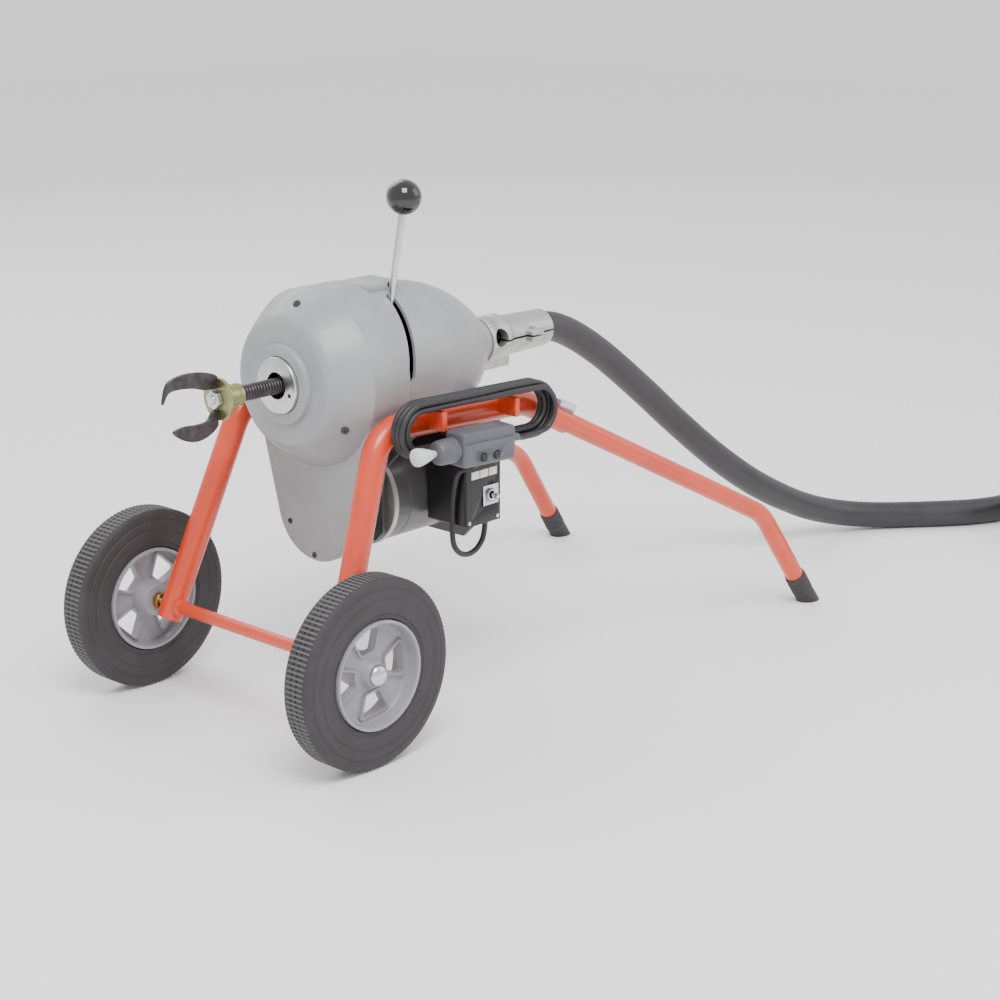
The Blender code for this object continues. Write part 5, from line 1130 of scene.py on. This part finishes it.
# %% Hose adapter
adapter = turned("hose_clamp_sleeve", [(440.3, 20), (440.3, 33), (441.3, 34), (452, 34), (453, 33.2), (466, 33.2),
                                       (467, 34), (479.3, 34), (480.8, 33.2), (483.5, 30.4), (488.3, 29.4),
                                       (572.5, 27.3), (576, 27), (577, 26), (577, 22.3), (544.7, 22.3),
                                       (544.7, 20)],
                 ALUMINIUM, at(0, 0, SPINDLE_Z), (1, 0, 0), 128, 30)
ears = rounded_box("ears", (516.3, -39.3, -9), (542.3, -23.3, 9), 3, ALUMINIUM,
                   Matrix.Translation(at(0, 0, SPINDLE_Z)),
                   3)
tab = rounded_box("tab", (444.3, -9, -44), (500.3, 9, -24), 3, ALUMINIUM,
                  Matrix.Translation(at(0, 0, SPINDLE_Z)), 3)
combine(adapter, [ears, tab], "UNION")
peep = turned("peep", [(0, 0), (0, 13), (60, 13), (60, 0)], ALUMINIUM, at(458, 0, SPINDLE_Z + 6), (0, -1, 0), 64)
split = rounded_box("split", (458, -60, -1.5), (600, 0, 1.5), 0.2, ALUMINIUM,
                    Matrix.Translation(at(0, 0, SPINDLE_Z)),
                    1)
combine(adapter, [peep, split], "DIFFERENCE")
soften(adapter, 0.6)
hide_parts("hose_adapter")
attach(adapter, "frame")
head = plate("clamp_bolt_head", [(5.2 * math.cos(math.radians(60 * k)), 5.2 * math.sin(math.radians(60 * k)))
                                 for k in range(6)], 0, 4, ZINC,
             Matrix.Translation(at(529.3, -31.5, SPINDLE_Z + 9)) @ Matrix.Rotation(math.pi / 2, 4, "X"))
soften(head, 0.4)
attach(head, "frame")
print("adapter ends at", 577, "mm")

# %% [markdown]
# ## Cover screws
# Pan-head screws hold the cover and the guard. Each is turned with a slotted head and pressed on where a
# screw boss is cast.

# %% Screws on the castings
def pan_screw(name, spot, direction, size=5.0):
    """A small domed head with a cross slot; size is its radius in millimetres."""
    profile = [(0, 0), (0, size * 0.98), (size * 0.12, size), (size * 0.4, size * 0.9), (size * 0.58, size * 0.6),
               (size * 0.64, size * 0.25), (size * 0.64, 0)]
    # The heads are dark oiled steel. They are made this dark partly as painted shade for the recesses round the
    # cover screws, which are not cut.
    made = turned(name, profile, SPRING, spot, direction, 32)
    turn = pointing(direction, spot)
    for k in range(2):
        bar = rounded_box("bar", (size * 0.3, -size * 0.62, -size * 0.11), (size, size * 0.62, size * 0.11), 0.1,
                          SPRING, turn @ Matrix.Rotation(math.pi / 2 * k, 4, "X"), 1)
        combine(made, [bar], "DIFFERENCE")
    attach(made, "frame")
    return made


shoulder_slope = Vector((-0.72, 0, 0.69))
for name, turn in (("top", -3), ("near_lower", -119), ("far_lower", 119)):
    spin = Matrix.Rotation(-math.radians(turn), 3, "X")
    spot = at(0, 0, SPINDLE_Z) + spin @ Vector((93 * MM, 0, 104.3 * MM))
    pan_screw(f"cover_screw_{name}", spot, spin @ shoulder_slope, 5.5)
for k, (y, z) in enumerate(((47, 245), (0, 206))):
    pan_screw(f"guard_screw_{k + 1}", at(118, y, z), (-1, 0, 0), 4)
pan_screw("pad_screw", at(238, -29.6, SPINDLE_Z + 113), (0, -1, 0), 4)
print("screws on")

# %% [markdown]
# ## Leg clamps and yokes
# A plated saddle with a thumb screw locks each rear leg; only the saddle is made. The yoke plates are plain
# folded steel, so they keep the imported model's own shape and get a finish below.

# %% Leg clamps
for label, side in (("near", -1), ("far", 1)):
    way = Vector((socket_way.x, side * socket_way.y, socket_way.z))
    centre = beside(socket - socket_way * 16.5, side)
    turn = pointing(way, centre)
    saddle = rounded_box(f"{label}_clamp_saddle", (-15, -14, 8.8), (15, 14, 25.5), 2, ZINC, turn, 3)
    tool = turned("tool", [(-40, 0), (-40, 17.8), (40, 17.8), (40, 0)], ZINC, centre, way, 64)
    combine(saddle, [tool], "DIFFERENCE")
    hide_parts(f"{label}_leg_clamp")
    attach(saddle, "frame")
print("leg clamps on")

# %% [markdown]
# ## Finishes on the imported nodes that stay
# Pulleys, belt, bearings and the clutch parts are hidden inside and have the right shape already, so they
# only take a finish.

# %% Finishes for inner pieces
INNER = {"spindle_tube": STEEL, "front_bearing": STEEL, "rear_bearing": STEEL, "driven_pulley": ALUMINIUM,
         "motor_pulley": ALUMINIUM, "drive_belt": TYRE, "motor_shaft": STEEL, "jaw_1": SPRING, "jaw_2": SPRING,
         "jaw_3": SPRING, "thrust_cone": STEEL, "thrust_collar": STEEL, "lever_ring": SPRING, "axle_rod": STEEL,
         "front_yoke": MOTOR_PAINT, "rear_yoke": MOTOR_PAINT}
for node, material in INNER.items():
    inner_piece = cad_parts[node]
    for slot in inner_piece.material_slots:
        slot.material = material
print(len(INNER), "inner pieces finished")

# %% [markdown]
# ## Floor and light
# A pale floor and one big soft light from above left, with a weaker fill, give the even light of a
# catalogue studio.

# %% Floor, world and lights
floor_mesh = bpy.data.meshes.new("floor")
floor_mesh.from_pydata([(-8, -8, 0), (8, -8, 0), (8, 8, 0), (-8, 8, 0)], [], [(0, 1, 2, 3)])
# Studio floor: nearly white and matt.
FLOOR = grained("pale_studio_floor", "FAFAFA", "F8F8F8", 0.8, 3.0, 0.0)
floor = piece("studio_floor", floor_mesh, FLOOR)
world = bpy.data.worlds.new("studio")
bpy.context.scene.world = world
world.use_nodes = True
world.node_tree.nodes["Background"].inputs["Color"].default_value = (1, 1, 1, 1)
world.node_tree.nodes["Background"].inputs["Strength"].default_value = 1.15
for name, place, size, power in (("key", (-1.4, -1.6, 3.2), 1.6, 110), ("fill", (2.6, -2.6, 2.2), 2.4, 30),
                                 ("back", (0.6, 2.8, 3.0), 2.6, 50)):
    lamp = bpy.data.objects.new(name, bpy.data.lights.new(name, "AREA"))
    lamp.data.size = size
    lamp.data.energy = power
    lamp.location = place
    lamp.rotation_euler = (Vector((0, 0, 0.3)) - Vector(place)).to_track_quat("-Z", "Y").to_euler()
    bpy.context.scene.collection.objects.link(lamp)
print("studio lit")
